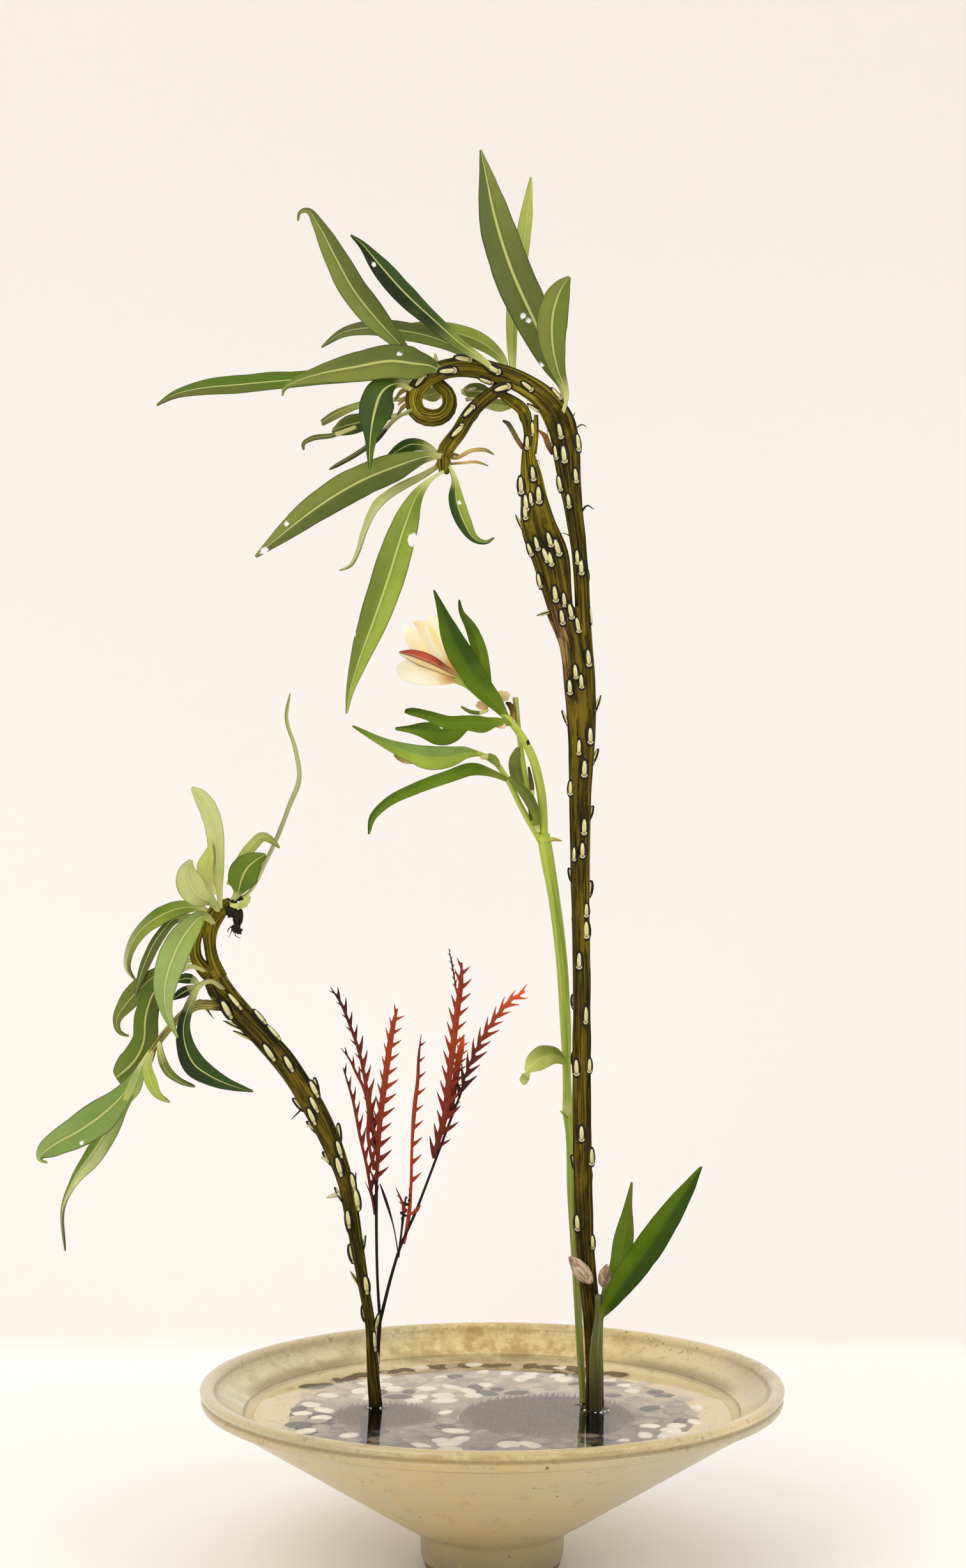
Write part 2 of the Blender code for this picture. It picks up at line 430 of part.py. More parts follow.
def tube(name, route, home, mat=None, grow=0.0):
    """A round tapering stem: a bevelled curve made a closed mesh."""
    curve = bpy.data.curves.new(name, "CURVE")
    curve.dimensions = "3D"
    curve.bevel_depth = MM
    curve.bevel_resolution = 1
    curve.use_fill_caps = True
    spline = curve.splines.new("POLY")
    spline.points.add(len(route) - 1)
    for knot, (x, z, near, radius) in zip(spline.points, route):
        knot.co = (*point(x, z, near), 1)
        knot.radius = radius + grow
    rope = bpy.data.objects.new(name, curve)
    bpy.context.scene.collection.objects.link(rope)
    shaped = rope.evaluated_get(bpy.context.evaluated_depsgraph_get())
    bm = bmesh.new()
    bm.from_mesh(bpy.data.meshes.new_from_object(shaped))
    bpy.data.objects.remove(rope)
    bmesh.ops.remove_doubles(bm, verts=bm.verts, dist=0.00001)
    bmesh.ops.recalc_face_normals(bm, faces=bm.faces)
    return from_bmesh(name, bm, home, mat)


def stem(name, shape, limbs, holes, mat, **options):
    """A stem and the limbs that grow from it, as one body standing on its pins, and the
    slightly larger copy that leaves are cut back from."""
    body = shape(name, limbs[0], home=PARTS, mat=mat, **options)
    skin = shape(name + " clearance", limbs[0], home=CUTTERS, grow=GAP, **options)
    for i, limb in enumerate(limbs[1:], 1):
        boolean(body, shape(f"{name} limb {i}", limb, home=CUTTERS, **options), "UNION")
        boolean(skin, shape(f"{name} limb {i} clearance", limb, home=CUTTERS, grow=GAP, **options),
                "UNION")
    boolean(body, holes, "DIFFERENCE")
    return skin


# ---------------------------------------------------------------- leaves and petals

def blade(name, rows, faces, mat, cut_by):
    """A thin blade: a grid two cells wide laid along its midrib, thickened, and cut back to
    where it meets its stem. rows are (centre, width) and faces the way each row looks."""
    centres = [centre for centre, _ in rows]
    bm = bmesh.new()
    bmesh.ops.create_grid(bm, x_segments=2, y_segments=len(rows) - 1, size=1)
    cells = sorted(bm.verts, key=lambda v: (round(v.co.y, 4), v.co.x))
    for i, (along, (centre, width), face) in enumerate(zip(directions(centres), rows, faces)):
        across = along.cross(face).normalized()
        for j in range(3):
            cells[3 * i + j].co = centre + across * (j - 1) * width / 2
    leaf = from_bmesh(name, bm, PARTS, mat)
    skin = leaf.modifiers.new("thickness", "SOLIDIFY")
    skin.thickness = LEAF_THICKNESS * MM
    skin.offset = 0
    for cutter in cut_by:
        boolean(leaf, cutter, "DIFFERENCE")
    return leaf


def leaves(prefix, table, mat, cut_by):
    for number, (base_turn, tip_turn, reach, midrib) in enumerate(table, 1):
        shares = [i / (len(midrib) - 1) for i in range(len(midrib))]
        rows = [(seen(x, z, near + reach * share ** 1.5), width * MM)
                for share, (x, z, near, width) in zip(shares, midrib)]
        looks = []
        for share, ahead in zip(shares, directions([centre for centre, _ in rows])):
            turn = radians(base_turn + (tip_turn - base_turn) * share)
            across = ahead.cross(VIEWER).normalized()
            looks.append(across.cross(ahead) * cos(turn) + across * sin(turn))
        blade(f"{prefix}_{number:02d}", rows, looks, mat, cut_by)


def flower(mat, cut_by):
    throat = point(*FLOWER_THROAT)
    tilt = radians(FLOWER_TILT)
    axis = Vector((cos(tilt), 0, sin(tilt)))
    up = Vector((sin(tilt), 0, -cos(tilt)))
    for number in range(6):
        angle = radians(60 * number + 20)
        out = up * cos(angle) + VIEWER * sin(angle)
        drop = INNER_TEPAL_DROP if number % 2 else 0.0
        rows = [(throat + (axis * ahead + out * max(radius - drop * min(1, ahead / 6), 1.5)) * MM,
                 width * MM) for ahead, radius, width in TEPAL]
        blade(f"tepal_{number + 1}", rows, [out] * len(rows), mat, cut_by)


def bud(name, x, z, near, length, width, lean, mat, cut_by):
    """A closed flower: a faceted egg that leans from its stalk."""
    bm = bmesh.new()
    bmesh.ops.create_uvsphere(bm, u_segments=8, v_segments=6, radius=0.5)
    for v in bm.verts:
        v.co.x *= width * MM
        v.co.y *= width * MM
        v.co.z *= length * MM
    obj = from_bmesh(name, bm, PARTS, mat)
    obj.location = point(x, z, near)
    obj.rotation_euler.y = radians(lean)
    boolean(obj, cut_by, "DIFFERENCE")


def serrated(name, midrib, length, forward, lean):
    """A flat blade with two ranks of thorns that point towards its tip."""
    centres = [point(x, z, SPRAY_FOOT[1] + forward) for x, z in midrib]
    total = sum((b - a).length for a, b in zip(centres, centres[1:]))

    def beside(distance, reach):
        """The place at a distance along the midrib, and out to its left or right."""
        for start, end in zip(centres, centres[1:]):
            run = end - start
            if distance <= run.length:
                break
            distance -= run.length
        ahead = run.normalized()
        spot = start + ahead * distance + ahead.cross(VIEWER) * reach * MM
        return spot + VIEWER * lean * (spot.z - centres[0].z)

    # Each thorn runs up half its pitch along the blade, and its point hangs a little past that.
    # The left rank starts half a pitch later than the right, so that the thorns alternate, and
    # they shorten to half their length at the tip.
    pitch = THORN_PITCH * MM
    ranks = {1: [], -1: []}
    for side, first in ((1, 0.1), (-1, 0.6)):
        foot = first * pitch
        while foot + 0.7 * pitch < total:
            reach = length * (1 - 0.5 * foot / total)
            ranks[side] += [beside(foot, side * BLADE_HALF),
                            beside(foot + 0.6 * pitch, side * (BLADE_HALF + reach)),
                            beside(foot + 0.5 * pitch, side * BLADE_HALF)]
            foot += pitch
    outline = [*ranks[1], beside(total, 0), *reversed(ranks[-1])]
    bm = bmesh.new()
    back = bm.faces.new([bm.verts.new(spot + VIEWER * BLADE_HALF * MM) for spot in outline])
    front = bmesh.ops.extrude_face_region(bm, geom=[back])
    bmesh.ops.translate(bm, verts=[v for v in front["geom"] if isinstance(v, bmesh.types.BMVert)],
                        vec=VIEWER * -2 * BLADE_HALF * MM)
    bmesh.ops.recalc_face_normals(bm, faces=bm.faces)
    return from_bmesh(name, bm, CUTTERS)


def red_spray(holes, mat):
    body = tube("red_spray", SPRAY_STALKS[0], PARTS, mat)
    for i, stalk in enumerate(SPRAY_STALKS[1:]):
        boolean(body, tube(f"spray stalk {i}", stalk, CUTTERS), "UNION")
    for i, blade_shape in enumerate(SPRAY_BLADES):
        boolean(body, serrated(f"spray blade {i}", *blade_shape), "UNION")
    boolean(body, holes, "DIFFERENCE")


def water():
    """The layer of water over the pebbles, with a hole for each stem."""
    bottom = [(cone_radius(WATER_BOTTOM, WALL) - GAP, WATER_BOTTOM), (0, WATER_BOTTOM)]
    pool = filling("water", bottom, WATER_LEVEL, material("water", (0.7, 0.72, 0.7), 0.05))
    for i, ((x, near), radius) in enumerate(WATER_HOLES):
        hole = cylinder(f"stem hole {i}", x, near, radius, WATER_BOTTOM - 1, WATER_LEVEL + 1, CUTTERS,
                        sides=16)
        boolean(pool, hole, "DIFFERENCE")


# ---------------------------------------------------------------- the arrangement

clear_scene()
PARTS = collection("ikebana_arrangement")
CUTTERS = collection("cutters")

lead = material("lead and brass", (0.16, 0.15, 0.13), 0.5, 0.6)
bark = material("willow bark", (0.14, 0.1, 0.04), 0.6)
green_stem = material("green stem", (0.32, 0.42, 0.1), 0.45)
willow_leaf = material("willow leaf", (0.2, 0.3, 0.1), 0.45)
lily_leaf = material("alstroemeria leaf", (0.09, 0.2, 0.05), 0.4)
petal = material("petal", (0.9, 0.75, 0.5), 0.5)
faded = material("faded flower", (0.5, 0.36, 0.24), 0.6)
red = material("red spray", (0.25, 0.04, 0.03), 0.5)

bowl()
pebble_bed()
right_holes = kenzan("kenzan_right", TALL_WILLOW_FOOT, lead)
left_holes = kenzan("kenzan_left", LOW_WILLOW_FOOT, lead)
water()

tall_skin = stem("willow_tall_stem", loft,
                 [TALL_WILLOW, TALL_WILLOW_LEFT, TALL_WILLOW_RIGHT, TALL_WILLOW_SIDE],
                 right_holes, bark, sides=10)
low_skin = stem("willow_low_stem", loft,
                [LOW_WILLOW, LOW_WILLOW_STUB, LOW_WILLOW_TOP, LOW_WILLOW_SHOOT],
                left_holes, bark, sides=10)
lily_skin = stem("alstroemeria_tall_stem", tube, [TALL_LILY, *TALL_LILY_LIMBS], right_holes, green_stem)
short_skin = stem("alstroemeria_short_stem", tube, [SHORT_LILY, *SHORT_LILY_LIMBS], right_holes,
                  green_stem)
red_spray(left_holes, red)

leaves("willow_tall_leaf", TALL_WILLOW_LEAVES, willow_leaf, [tall_skin])
leaves("willow_low_leaf", LOW_WILLOW_LEAVES, willow_leaf, [low_skin])
leaves("alstroemeria_tall_leaf", TALL_LILY_LEAVES, lily_leaf, [lily_skin])
leaves("alstroemeria_short_leaf", SHORT_LILY_LEAVES, lily_leaf, [short_skin])
flower(petal, [lily_skin])
for bud_name, shape in SHORT_LILY_BUDS.items():
    bud(bud_name, *shape, faded, short_skin)
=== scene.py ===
# %% [markdown]
# # An ikebana arrangement
# A wide stoneware bowl holds water, river pebbles and two pin holders. On the pins stand two
# fasciated willow stems, flat and ribbed because they grew as many stems in one, two
# alstroemerias and a red serrated spray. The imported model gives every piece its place. This
# lesson gives each one its real surface, from the bowl up to the last bud.

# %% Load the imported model
import random
from math import cos, pi, radians, sin

import bmesh
import bpy
import numpy as np
from mathutils import Matrix, Vector, noise


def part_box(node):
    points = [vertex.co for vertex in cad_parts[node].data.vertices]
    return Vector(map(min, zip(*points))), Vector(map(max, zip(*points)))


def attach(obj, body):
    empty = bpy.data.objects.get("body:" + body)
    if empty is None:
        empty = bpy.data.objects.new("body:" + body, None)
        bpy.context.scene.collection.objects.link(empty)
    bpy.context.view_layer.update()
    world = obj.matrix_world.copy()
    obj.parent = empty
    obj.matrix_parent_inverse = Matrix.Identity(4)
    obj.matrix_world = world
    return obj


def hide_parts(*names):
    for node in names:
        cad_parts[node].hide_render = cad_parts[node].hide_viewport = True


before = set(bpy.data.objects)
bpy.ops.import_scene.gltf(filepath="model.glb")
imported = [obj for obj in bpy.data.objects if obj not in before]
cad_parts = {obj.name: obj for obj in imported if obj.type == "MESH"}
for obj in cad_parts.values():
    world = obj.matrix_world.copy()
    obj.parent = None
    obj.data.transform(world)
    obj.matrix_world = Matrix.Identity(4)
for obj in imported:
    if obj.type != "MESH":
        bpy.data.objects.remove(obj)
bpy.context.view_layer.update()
MM = 0.001

# %% [markdown]
# ## The camera
# The arrangement is composed for one viewpoint: straight in front, at the height of the
# flower. A long lens from there keeps the tall stem upright and lets the eye look down into the
# bowl at a shallow angle, so the camera is level and its sensor is read along the long side.

# %% Camera
EYE_X, EYE_AWAY, EYE_HEIGHT = -4.7, 1370, 402
EYE = Vector((EYE_X, -EYE_AWAY, EYE_HEIGHT)) * MM
bpy.ops.object.camera_add(location=EYE, rotation=(pi / 2, 0, 0))
camera = bpy.context.object
camera.data.lens = 61.03
camera.data.sensor_width = 36
bpy.context.scene.camera = camera
print("camera", tuple(round(v, 3) for v in EYE))

# %% [markdown]
# ## Floor and backdrop
# A studio sweep is one sheet of paper: it lies flat, then bends up behind the object
# with no line to distract. Here a plane is the floor, its back edge is pulled up into a wall,
# and a bevel on the fold makes the bend. The floor is white and the wall a warm pale tone.

# %% Choose, name and extrude
def deselect():
    if bpy.context.object and bpy.context.object.mode == "EDIT":
        bpy.ops.object.mode_set(mode="OBJECT")
    bpy.ops.object.select_all(action="DESELECT")


def take(obj):
    """Choose one object, and make it the active one."""
    deselect()
    obj.select_set(True)
    bpy.context.view_layer.objects.active = obj


def named(name):
    """The active object under its own name, as is its mesh."""
    bpy.context.object.name = bpy.context.object.data.name = name
    return bpy.context.object


def pick(obj, test, kind="VERT"):
    """Edit mode on one object, with the vertices, edges or faces chosen that pass a test."""
    take(obj)
    bpy.ops.object.mode_set(mode="EDIT")
    bpy.ops.mesh.select_mode(type=kind)
    bpy.ops.mesh.select_all(action="DESELECT")
    bm = bmesh.from_edit_mesh(obj.data)
    for item in {"VERT": bm.verts, "EDGE": bm.edges, "FACE": bm.faces}[kind]:
        if test(item):
            item.select_set(True)
    bm.select_flush_mode()
    bmesh.update_edit_mesh(obj.data)


def extrude(x, y, z):
    bpy.ops.mesh.extrude_region_move(TRANSFORM_OT_translate={"value": (x, y, z)})


def done():
    bpy.ops.object.mode_set(mode="OBJECT")


# %% The sweep
SWEEP_SIZE = 6
SWEEP_BACK = 0.62
SWEEP_BEND = 0.32
WALL_HEIGHT = 4
deselect()
bpy.ops.mesh.primitive_plane_add(size=SWEEP_SIZE, location=(0, SWEEP_BACK - SWEEP_SIZE / 2, 0))
sweep = named("sweep")
back = SWEEP_SIZE / 2 - 0.1
pick(sweep, lambda edge: all(v.co.y > back for v in edge.verts), "EDGE")
extrude(0, 0, WALL_HEIGHT)
pick(sweep, lambda edge: all(v.co.y > back and v.co.z < 0.1 for v in edge.verts), "EDGE")
bpy.ops.mesh.bevel(offset=SWEEP_BEND, segments=24, affect="EDGES")
done()
bpy.ops.object.shade_smooth()
bpy.ops.object.transform_apply(location=True)
print("sweep", tuple(round(v, 2) for v in sweep.dimensions))

# %% [markdown]
# ## Shader maths as Python
# A material is a net of nodes. Written out node by node it hides what it does, so one small
# class wraps a socket and lets Python's own signs work on it: `1 - mask` adds a Math node.
# Colours go through a Mix node, because a Math node would turn them grey.

# %% A socket that takes sums
class Wire:
    """A socket of a material, on which + - * ** and abs add Math nodes."""

    def __init__(self, tree, socket):
        self.tree = tree
        self.socket = socket

    def node(self, kind, settings=None, inputs=None, out=0):
        """Add any node: its settings first, then the values or links of its sockets."""
        made = self.tree.nodes.new(kind)
        for name, value in (settings or {}).items():
            setattr(made, name, value)
        for name, value in (inputs or {}).items():
            if isinstance(value, Wire):
                self.tree.links.new(value.socket, made.inputs[name])
            else:
                made.inputs[name].default_value = value
        return Wire(self.tree, made.outputs[out])

    def maths(self, operation, *values):
        return self.node("ShaderNodeMath", {"operation": operation}, dict(enumerate(values)))

    def __add__(self, other):
        return self.maths("ADD", self, other)

    __radd__ = __add__

    def __sub__(self, other):
        return self.maths("SUBTRACT", self, other)

    def __rsub__(self, other):
        return self.maths("SUBTRACT", other, self)

    def __mul__(self, other):
        return self.maths("MULTIPLY", self, other)

    __rmul__ = __mul__

    def __pow__(self, other):
        return self.maths("POWER", self, other)

    def __abs__(self):
        return self.maths("ABSOLUTE", self)

    def step(self, low, high):
        """0 below low, 1 above high and a soft rise between; or a fall, when low is above high."""
        rise = {"Value": self, "From Min": min(low, high), "From Max": max(low, high),
                "To Min": float(low > high), "To Max": float(low < high)}
        return self.node("ShaderNodeMapRange", {"interpolation_type": "SMOOTHSTEP"}, rise)

    def scaled(self, amount):
        """This colour made darker or lighter."""
        return self.node("ShaderNodeVectorMath", {"operation": "SCALE"}, {0: self, "Scale": amount})

    def mix(self, first, second):
        """The first colour where this mask is 0 and the second where it is 1."""
        return self.blend(self, first, second)

    def towards(self, colour, share):
        """This colour, moved a share of the way towards another."""
        return self.blend(share, self, colour)

    def blend(self, share, first, second):
        return self.node("ShaderNodeMix", {"data_type": "RGBA", "clamp_factor": True},
                         {0: share, 6: first, 7: second}, out=2)


# %% A material for each finish
class Finish(Wire):
    """A Principled material. Its own sockets hold what is the same all over."""

    def __init__(self, name, **fixed):
        self.material = bpy.data.materials.new(name)
        self.material.use_nodes = True
        self.shader = self.material.node_tree.nodes["Principled BSDF"]
        super().__init__(self.material.node_tree, None)
        for socket, value in fixed.items():
            self.shader.inputs[socket.replace("_", " ")].default_value = value

    def coordinates(self, **mapping):
        """Where a point of the surface is, perhaps stretched or turned."""
        spot = self.node("ShaderNodeTexCoord", out="Object")
        if not mapping:
            return spot
        return self.node("ShaderNodeMapping", {}, {"Vector": spot, **mapping})

    def noise(self, where, scale, detail=3.0, roughness=0.55):
        return self.node("ShaderNodeTexNoise", {},
                         {"Vector": where, "Scale": scale, "Detail": detail, "Roughness": roughness})

    def cells(self, where, scale):
        return self.node("ShaderNodeTexVoronoi", {}, {"Vector": where, "Scale": scale}, out="Distance")

    def bump(self, height, distance, strength=1.0):
        return self.node("ShaderNodeBump", {}, {"Height": height, "Distance": distance,
                                                "Strength": strength})

    def split(self, where):
        """The three parts of a place, as wires."""
        parts = self.node("ShaderNodeSeparateXYZ", {}, {"Vector": where})
        outs = parts.socket.node.outputs
        return [Wire(self.tree, outs[i]) for i in range(3)]

    def wear(self, **wires):
        """Link what changes over the surface to the shader."""
        for name, wire in wires.items():
            self.tree.links.new(wire.socket, self.shader.inputs[name.replace("_", " ")])
        return self.material


def tone(red, green, blue):
    """A colour as a paint chart gives it, 0 to 255, turned into amounts of light."""
    def light(part):
        part /= 255
        return part / 12.92 if part < 0.04045 else ((part + 0.055) / 1.055) ** 2.4
    return (light(red), light(green), light(blue), 1)


BLACK = tone(0, 0, 0)


def dress(obj, material):
    obj.data.materials.clear()
    obj.data.materials.append(material)


# %% [markdown]
# The paper is only there for the front: its back lets light and eye through, so that the
# arrangement can be looked at from every side.

# %% Paper for the sweep
paper = Finish("paper", Roughness=0.9, Specular_IOR_Level=0.1)
_, depth, height = paper.split(paper.coordinates())
wall = height.step(0.2, 1.1).mix(tone(247, 242, 238), tone(232, 226, 219))
front = 1 - paper.node("ShaderNodeNewGeometry", out="Backfacing")
dress(sweep, paper.wear(Base_Color=depth.step(0.4, 0.44).mix(tone(255, 254, 252), wall), Alpha=front))
print("wall faces", round(min(sweep.data.polygons, key=lambda face: face.normal.y).normal.y, 2))

# %% [markdown]
# ## Light
# Soft daylight from a big window in front, a weaker one from the right, and a pale room all
# round: large lights give the glaze and the water broad soft reflections and no hard shadow.

# %% Lamps and sky
# Each lamp's place and aim in metres, its size, its power and its colour
LAMPS = {
    "window": ((-1.3, -1.5, 1.7), (0, 0, 0.35), (1.5, 1.5), 20, (1.0, 0.99, 0.975)),
    "fill": ((1.5, -1.2, 1.3), (0, 0, 0.35), (1.2, 1.2), 9.5, (1.0, 0.99, 0.98)),
    "wall": ((0.0, -0.3, 2.1), (0, 0.3, 0.35), (2.2, 1.0), 5, (1.0, 0.985, 0.97)),
}
for name, (place, aim, size, watts, colour) in LAMPS.items():
    deselect()
    bpy.ops.object.light_add(type="AREA", location=place)
    lamp = bpy.context.object
    lamp.name = name
    lamp.data.shape = "RECTANGLE"
    lamp.data.size, lamp.data.size_y = size
    lamp.data.energy = watts
    lamp.data.color = colour
    ray = Vector(aim) - Vector(place)
    lamp.rotation_euler = ray.to_track_quat("-Z", "Y").to_euler()
sky = bpy.data.worlds.new("room")
sky.use_nodes = True
sky.node_tree.nodes["Background"].inputs["Color"].default_value = (1.0, 0.993, 0.985, 1)
sky.node_tree.nodes["Background"].inputs["Strength"].default_value = 0.6
bpy.context.scene.world = sky
bpy.context.scene.view_settings.view_transform = "Standard"
print("lamps", list(LAMPS))

# %% [markdown]
# ## The bowl
# The real bowl was thrown on a wheel: a ring of clay drawn up and out. It is made the same way
# here. A circle at the foot is extruded and widened ring after ring, up the outer side, over the
# ridged rim and down the inside. A lathe's profile would do too, but rings are quick to shape.

# %% Sizes of the bowl
RIM_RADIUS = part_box("bowl")[1].x
RIM_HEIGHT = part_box("bowl")[1].z
WATER_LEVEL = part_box("water")[1].z
SLOPE = 0.625
FOOT_RADIUS = 36.5 * MM
FOOT_HEIGHT = 17.5 * MM
WALL = 6.9 * MM


def cone_radius(z, wall=0.0):
    """Radius of the bowl's outer side at a height, or of its inner side for the full wall."""
    return FOOT_RADIUS + 0.9 * MM + (z - FOOT_HEIGHT - wall) / SLOPE


# %% The side of the bowl in section
# (radius, height): the foot as steps out from its radius, the rim as steps from its widest, highest point
FOOT = ((-2.3, 0.0), (-1.5, 0.7), (-1.3, 3.0), (-0.9, 3.8), (0.0, 4.4), (0.4, 9.0), (0.5, 13.0),
        (0.6, 16.6), (1.4, 18.2), (3.6, 19.6))
RIM = ((-6.2, -11.4), (-4.6, -10.4), (-2.4, -10.0), (-1.1, -9.1), (-0.5, -7.6), (-0.7, -6.2),
       (-1.9, -5.4), (-2.0, -5.0), (-1.0, -4.4), (-0.1, -3.2), (0.0, -2.0), (-0.6, -0.8),
       (-1.9, -0.15), (-4.0, 0.0), (-5.6, -0.4), (-7.0, -1.4), (-8.0, -2.8))
FLOOR = ((42, 27.5), (30, 22.9), (16, 21.1), (6, 20.6))
PROFILE = [(FOOT_RADIUS + dr * MM, z * MM) for dr, z in FOOT]
PROFILE += [(cone_radius(z * MM), z * MM) for z in (24, 30, 36, 42, 48, 54, 60, 66, 72, 78, 82)]
PROFILE += [(RIM_RADIUS + dr * MM, RIM_HEIGHT + dz * MM) for dr, dz in RIM]
PROFILE += [(cone_radius(z * MM, WALL), z * MM) for z in (90, 87, 84, 81, 78, 74, 68, 60, 52, 44, 36)]
PROFILE += [(r * MM, z * MM) for r, z in FLOOR]
print("rings in the section", len(PROFILE))

# %% Throw it ring by ring
BOWL_SIDES = 144


def edit_all():
    """Edit mode on the active object, with all of it chosen."""
    bpy.ops.object.mode_set(mode="EDIT")
    bpy.ops.mesh.select_all(action="SELECT")


def ring(name, radius, sides, place=(0, 0, 0), turn=(0, 0, 0)):
    """A filled circle in edit mode, its place and turn in its mesh."""
    deselect()
    bpy.ops.mesh.primitive_circle_add(vertices=sides, radius=radius, fill_type="NGON",
                                      location=place, rotation=turn)
    bpy.ops.object.transform_apply(location=True, rotation=True)
    edit_all()
    return named(name)


radius, height = PROFILE[0]
bowl = ring("stoneware_bowl", radius, BOWL_SIDES, (0, 0, height))
for wide, high in PROFILE[1:]:
    extrude(0, 0, high - height)
    bpy.ops.transform.resize(value=(wide / radius, wide / radius, 1), center_override=(0, 0, high))
    radius, height = wide, high
done()
print("bowl faces", len(bowl.data.polygons))

# %% [markdown]
# Clay that a hand has drawn up is never quite round. A slow noise pushes the wall in and out by a
# fraction of a millimetre, and one subdivision then rounds the ridges of the rim. The floor of the
# bowl stays as it is, because the water and the pebbles lie on it.

# %% Leave the marks of the hand
WOBBLE = 0.45 * MM
RING_MARK = 0.16 * MM
STILL_BELOW = 0.003
STILL_WITHIN = 0.02


def hand_thrown(point):
    """How far the clay stands in or out at a point, in metres."""
    slow = noise.noise(point * 11 + Vector((3, 1, 7)))
    quick = noise.noise(Vector((point.x * 22, point.y * 22, point.z * 160)))
    return slow * WOBBLE + quick * RING_MARK


def shaped_by(obj, kind, **settings):
    """Give an object a modifier with these settings, and apply it."""
    take(obj)
    change = obj.modifiers.new("change", kind)
    for name, value in settings.items():
        setattr(change, name, value)
    bpy.ops.object.modifier_apply(modifier="change")


shaped_by(bowl, "SUBSURF", levels=1, render_levels=1)
for v in bowl.data.vertices:
    outward = Vector((v.co.x, v.co.y, 0))
    if outward.length > STILL_WITHIN and v.co.z > STILL_BELOW:
        v.co += outward.normalized() * hand_thrown(v.co) * min(1, (v.co.z - STILL_BELOW) / 0.02)
bpy.ops.object.shade_smooth()
print("bowl", [round(d, 4) for d in bowl.dimensions])

# %% [markdown]
# ## The glaze
# An ash glaze pools, breaks and takes up iron from the clay. It is olive and thick inside, tan
# where it is thin, greyer low down, bare and brown at the foot ring and worn at the rim. All of
# that is masks: height and distance from the axis say where, and noise breaks every edge up.

# %% Where the glaze changes
glaze = Finish("ash_glaze", Roughness=0.3, Coat_Roughness=0.12, Specular_IOR_Level=0.45,
               Emission_Strength=0.22)
spot = glaze.coordinates()
x, y, z = glaze.split(spot)
radius = (x * x + y * y) ** 0.5
above_side = z - ((radius - 0.0374) * SLOPE + FOOT_HEIGHT)
inside = above_side.step(0.0025, 0.0045)
rim_zone = z.step(0.0835, 0.0925)
cloud = glaze.noise(spot, 26, 4, 0.6)
grain = glaze.noise(spot, 420, 3, 0.65)
blotch = glaze.noise(spot, 95, 5, 0.62)
foot_ring = (z + 0.002 * blotch).step(0.0056, 0.0036)

# %% Outer side and inner side
tan_glaze = cloud.step(0.4, 0.62).mix(tone(206, 178, 122), tone(200, 180, 132))
low = (z + 0.02 * cloud).step(0.045, 0.016)
side = x.step(0.01, 0.08) + x.step(-0.03, -0.13)
outer = side.mix(tan_glaze, x.step(-0.02, 0.02).mix(tone(208, 190, 146), tone(196, 183, 148)))
outer = low.mix(outer, tone(154, 142, 106))
olive = blotch.step(0.38, 0.66).mix(tone(192, 156, 82), tone(234, 212, 148))
green_side = (x * -1 + 0.03 * cloud).step(0.03, 0.125)
inner = green_side.mix(olive, blotch.step(0.38, 0.66).mix(tone(206, 194, 142), tone(228, 216, 168)))
bright = x.step(0.12, 0.14).mix(tone(230, 206, 152), tone(190, 170, 124))
inner = (x + 0.02 * cloud).step(0.06, 0.11).mix(inner, bright)
# A darker olive band just above the water line, towards the back and the sides.
olive_band = (z + 0.003 * blotch).step(0.0875, 0.083) * abs(x).step(0.055, 0.09) * y.step(0.015, 0.04)
inner = (olive_band * 0.9).mix(inner, tone(152, 130, 72))
# Painted light: the inner wall under the water, all but the far back, is painted paler and glows, for light
# that the water's surface keeps from it.
under = z.step(0.0808, 0.079) * y.step(0.117, 0.102)
inner = (under * 0.85).mix(inner, tone(250, 228, 176))
skin = inside.mix(outer, inner)

# %% Iron, grooves, the worn lip and specks
GROOVES = ((0.0052, 0.0012), (0.0104, 0.001))
skin = (grain * 0.5 + blotch * 0.5).step(0.34, 0.46).mix(tone(178, 154, 104), skin)
skin = (rim_zone * x.step(-0.02, -0.07) * 0.45).mix(skin, tone(174, 156, 118))
iron = (blotch * 0.6 + grain * 0.4).step(0.5, 0.68) * rim_zone
skin = (iron * 0.65).mix(skin, tone(150, 106, 52))
for drop, thick in GROOVES:
    groove = abs(z - (RIM_HEIGHT - drop)).step(thick, 0.0003) * (1 - inside)
    skin = (groove * 0.32).mix(skin, tone(132, 98, 54))
# Painted shade: the rim is darker on the side nearest the viewer.
shaded_near_rim = rim_zone * y.step(-0.08, -0.125)
skin = (shaded_near_rim * 0.35).mix(skin, tone(160, 148, 112))
lip = z.step(0.0928, 0.0948) * blotch.step(0.62, 0.4)
skin = (lip * 0.6).mix(skin, tone(212, 190, 138))
speck = glaze.cells(spot, 115).step(0.14, 0.06) * glaze.noise(spot, 60, 2).step(0.5, 0.62)
skin = (speck * 0.9).mix(skin, tone(78, 56, 32))
skin = (foot_ring * 0.85).mix(skin, tone(120, 92, 58))


# %% Gloss and throwing rings
def fit(piece, material, node=None):
    dress(piece, material)
    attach(piece, "root")
    if node:
        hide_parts(node)


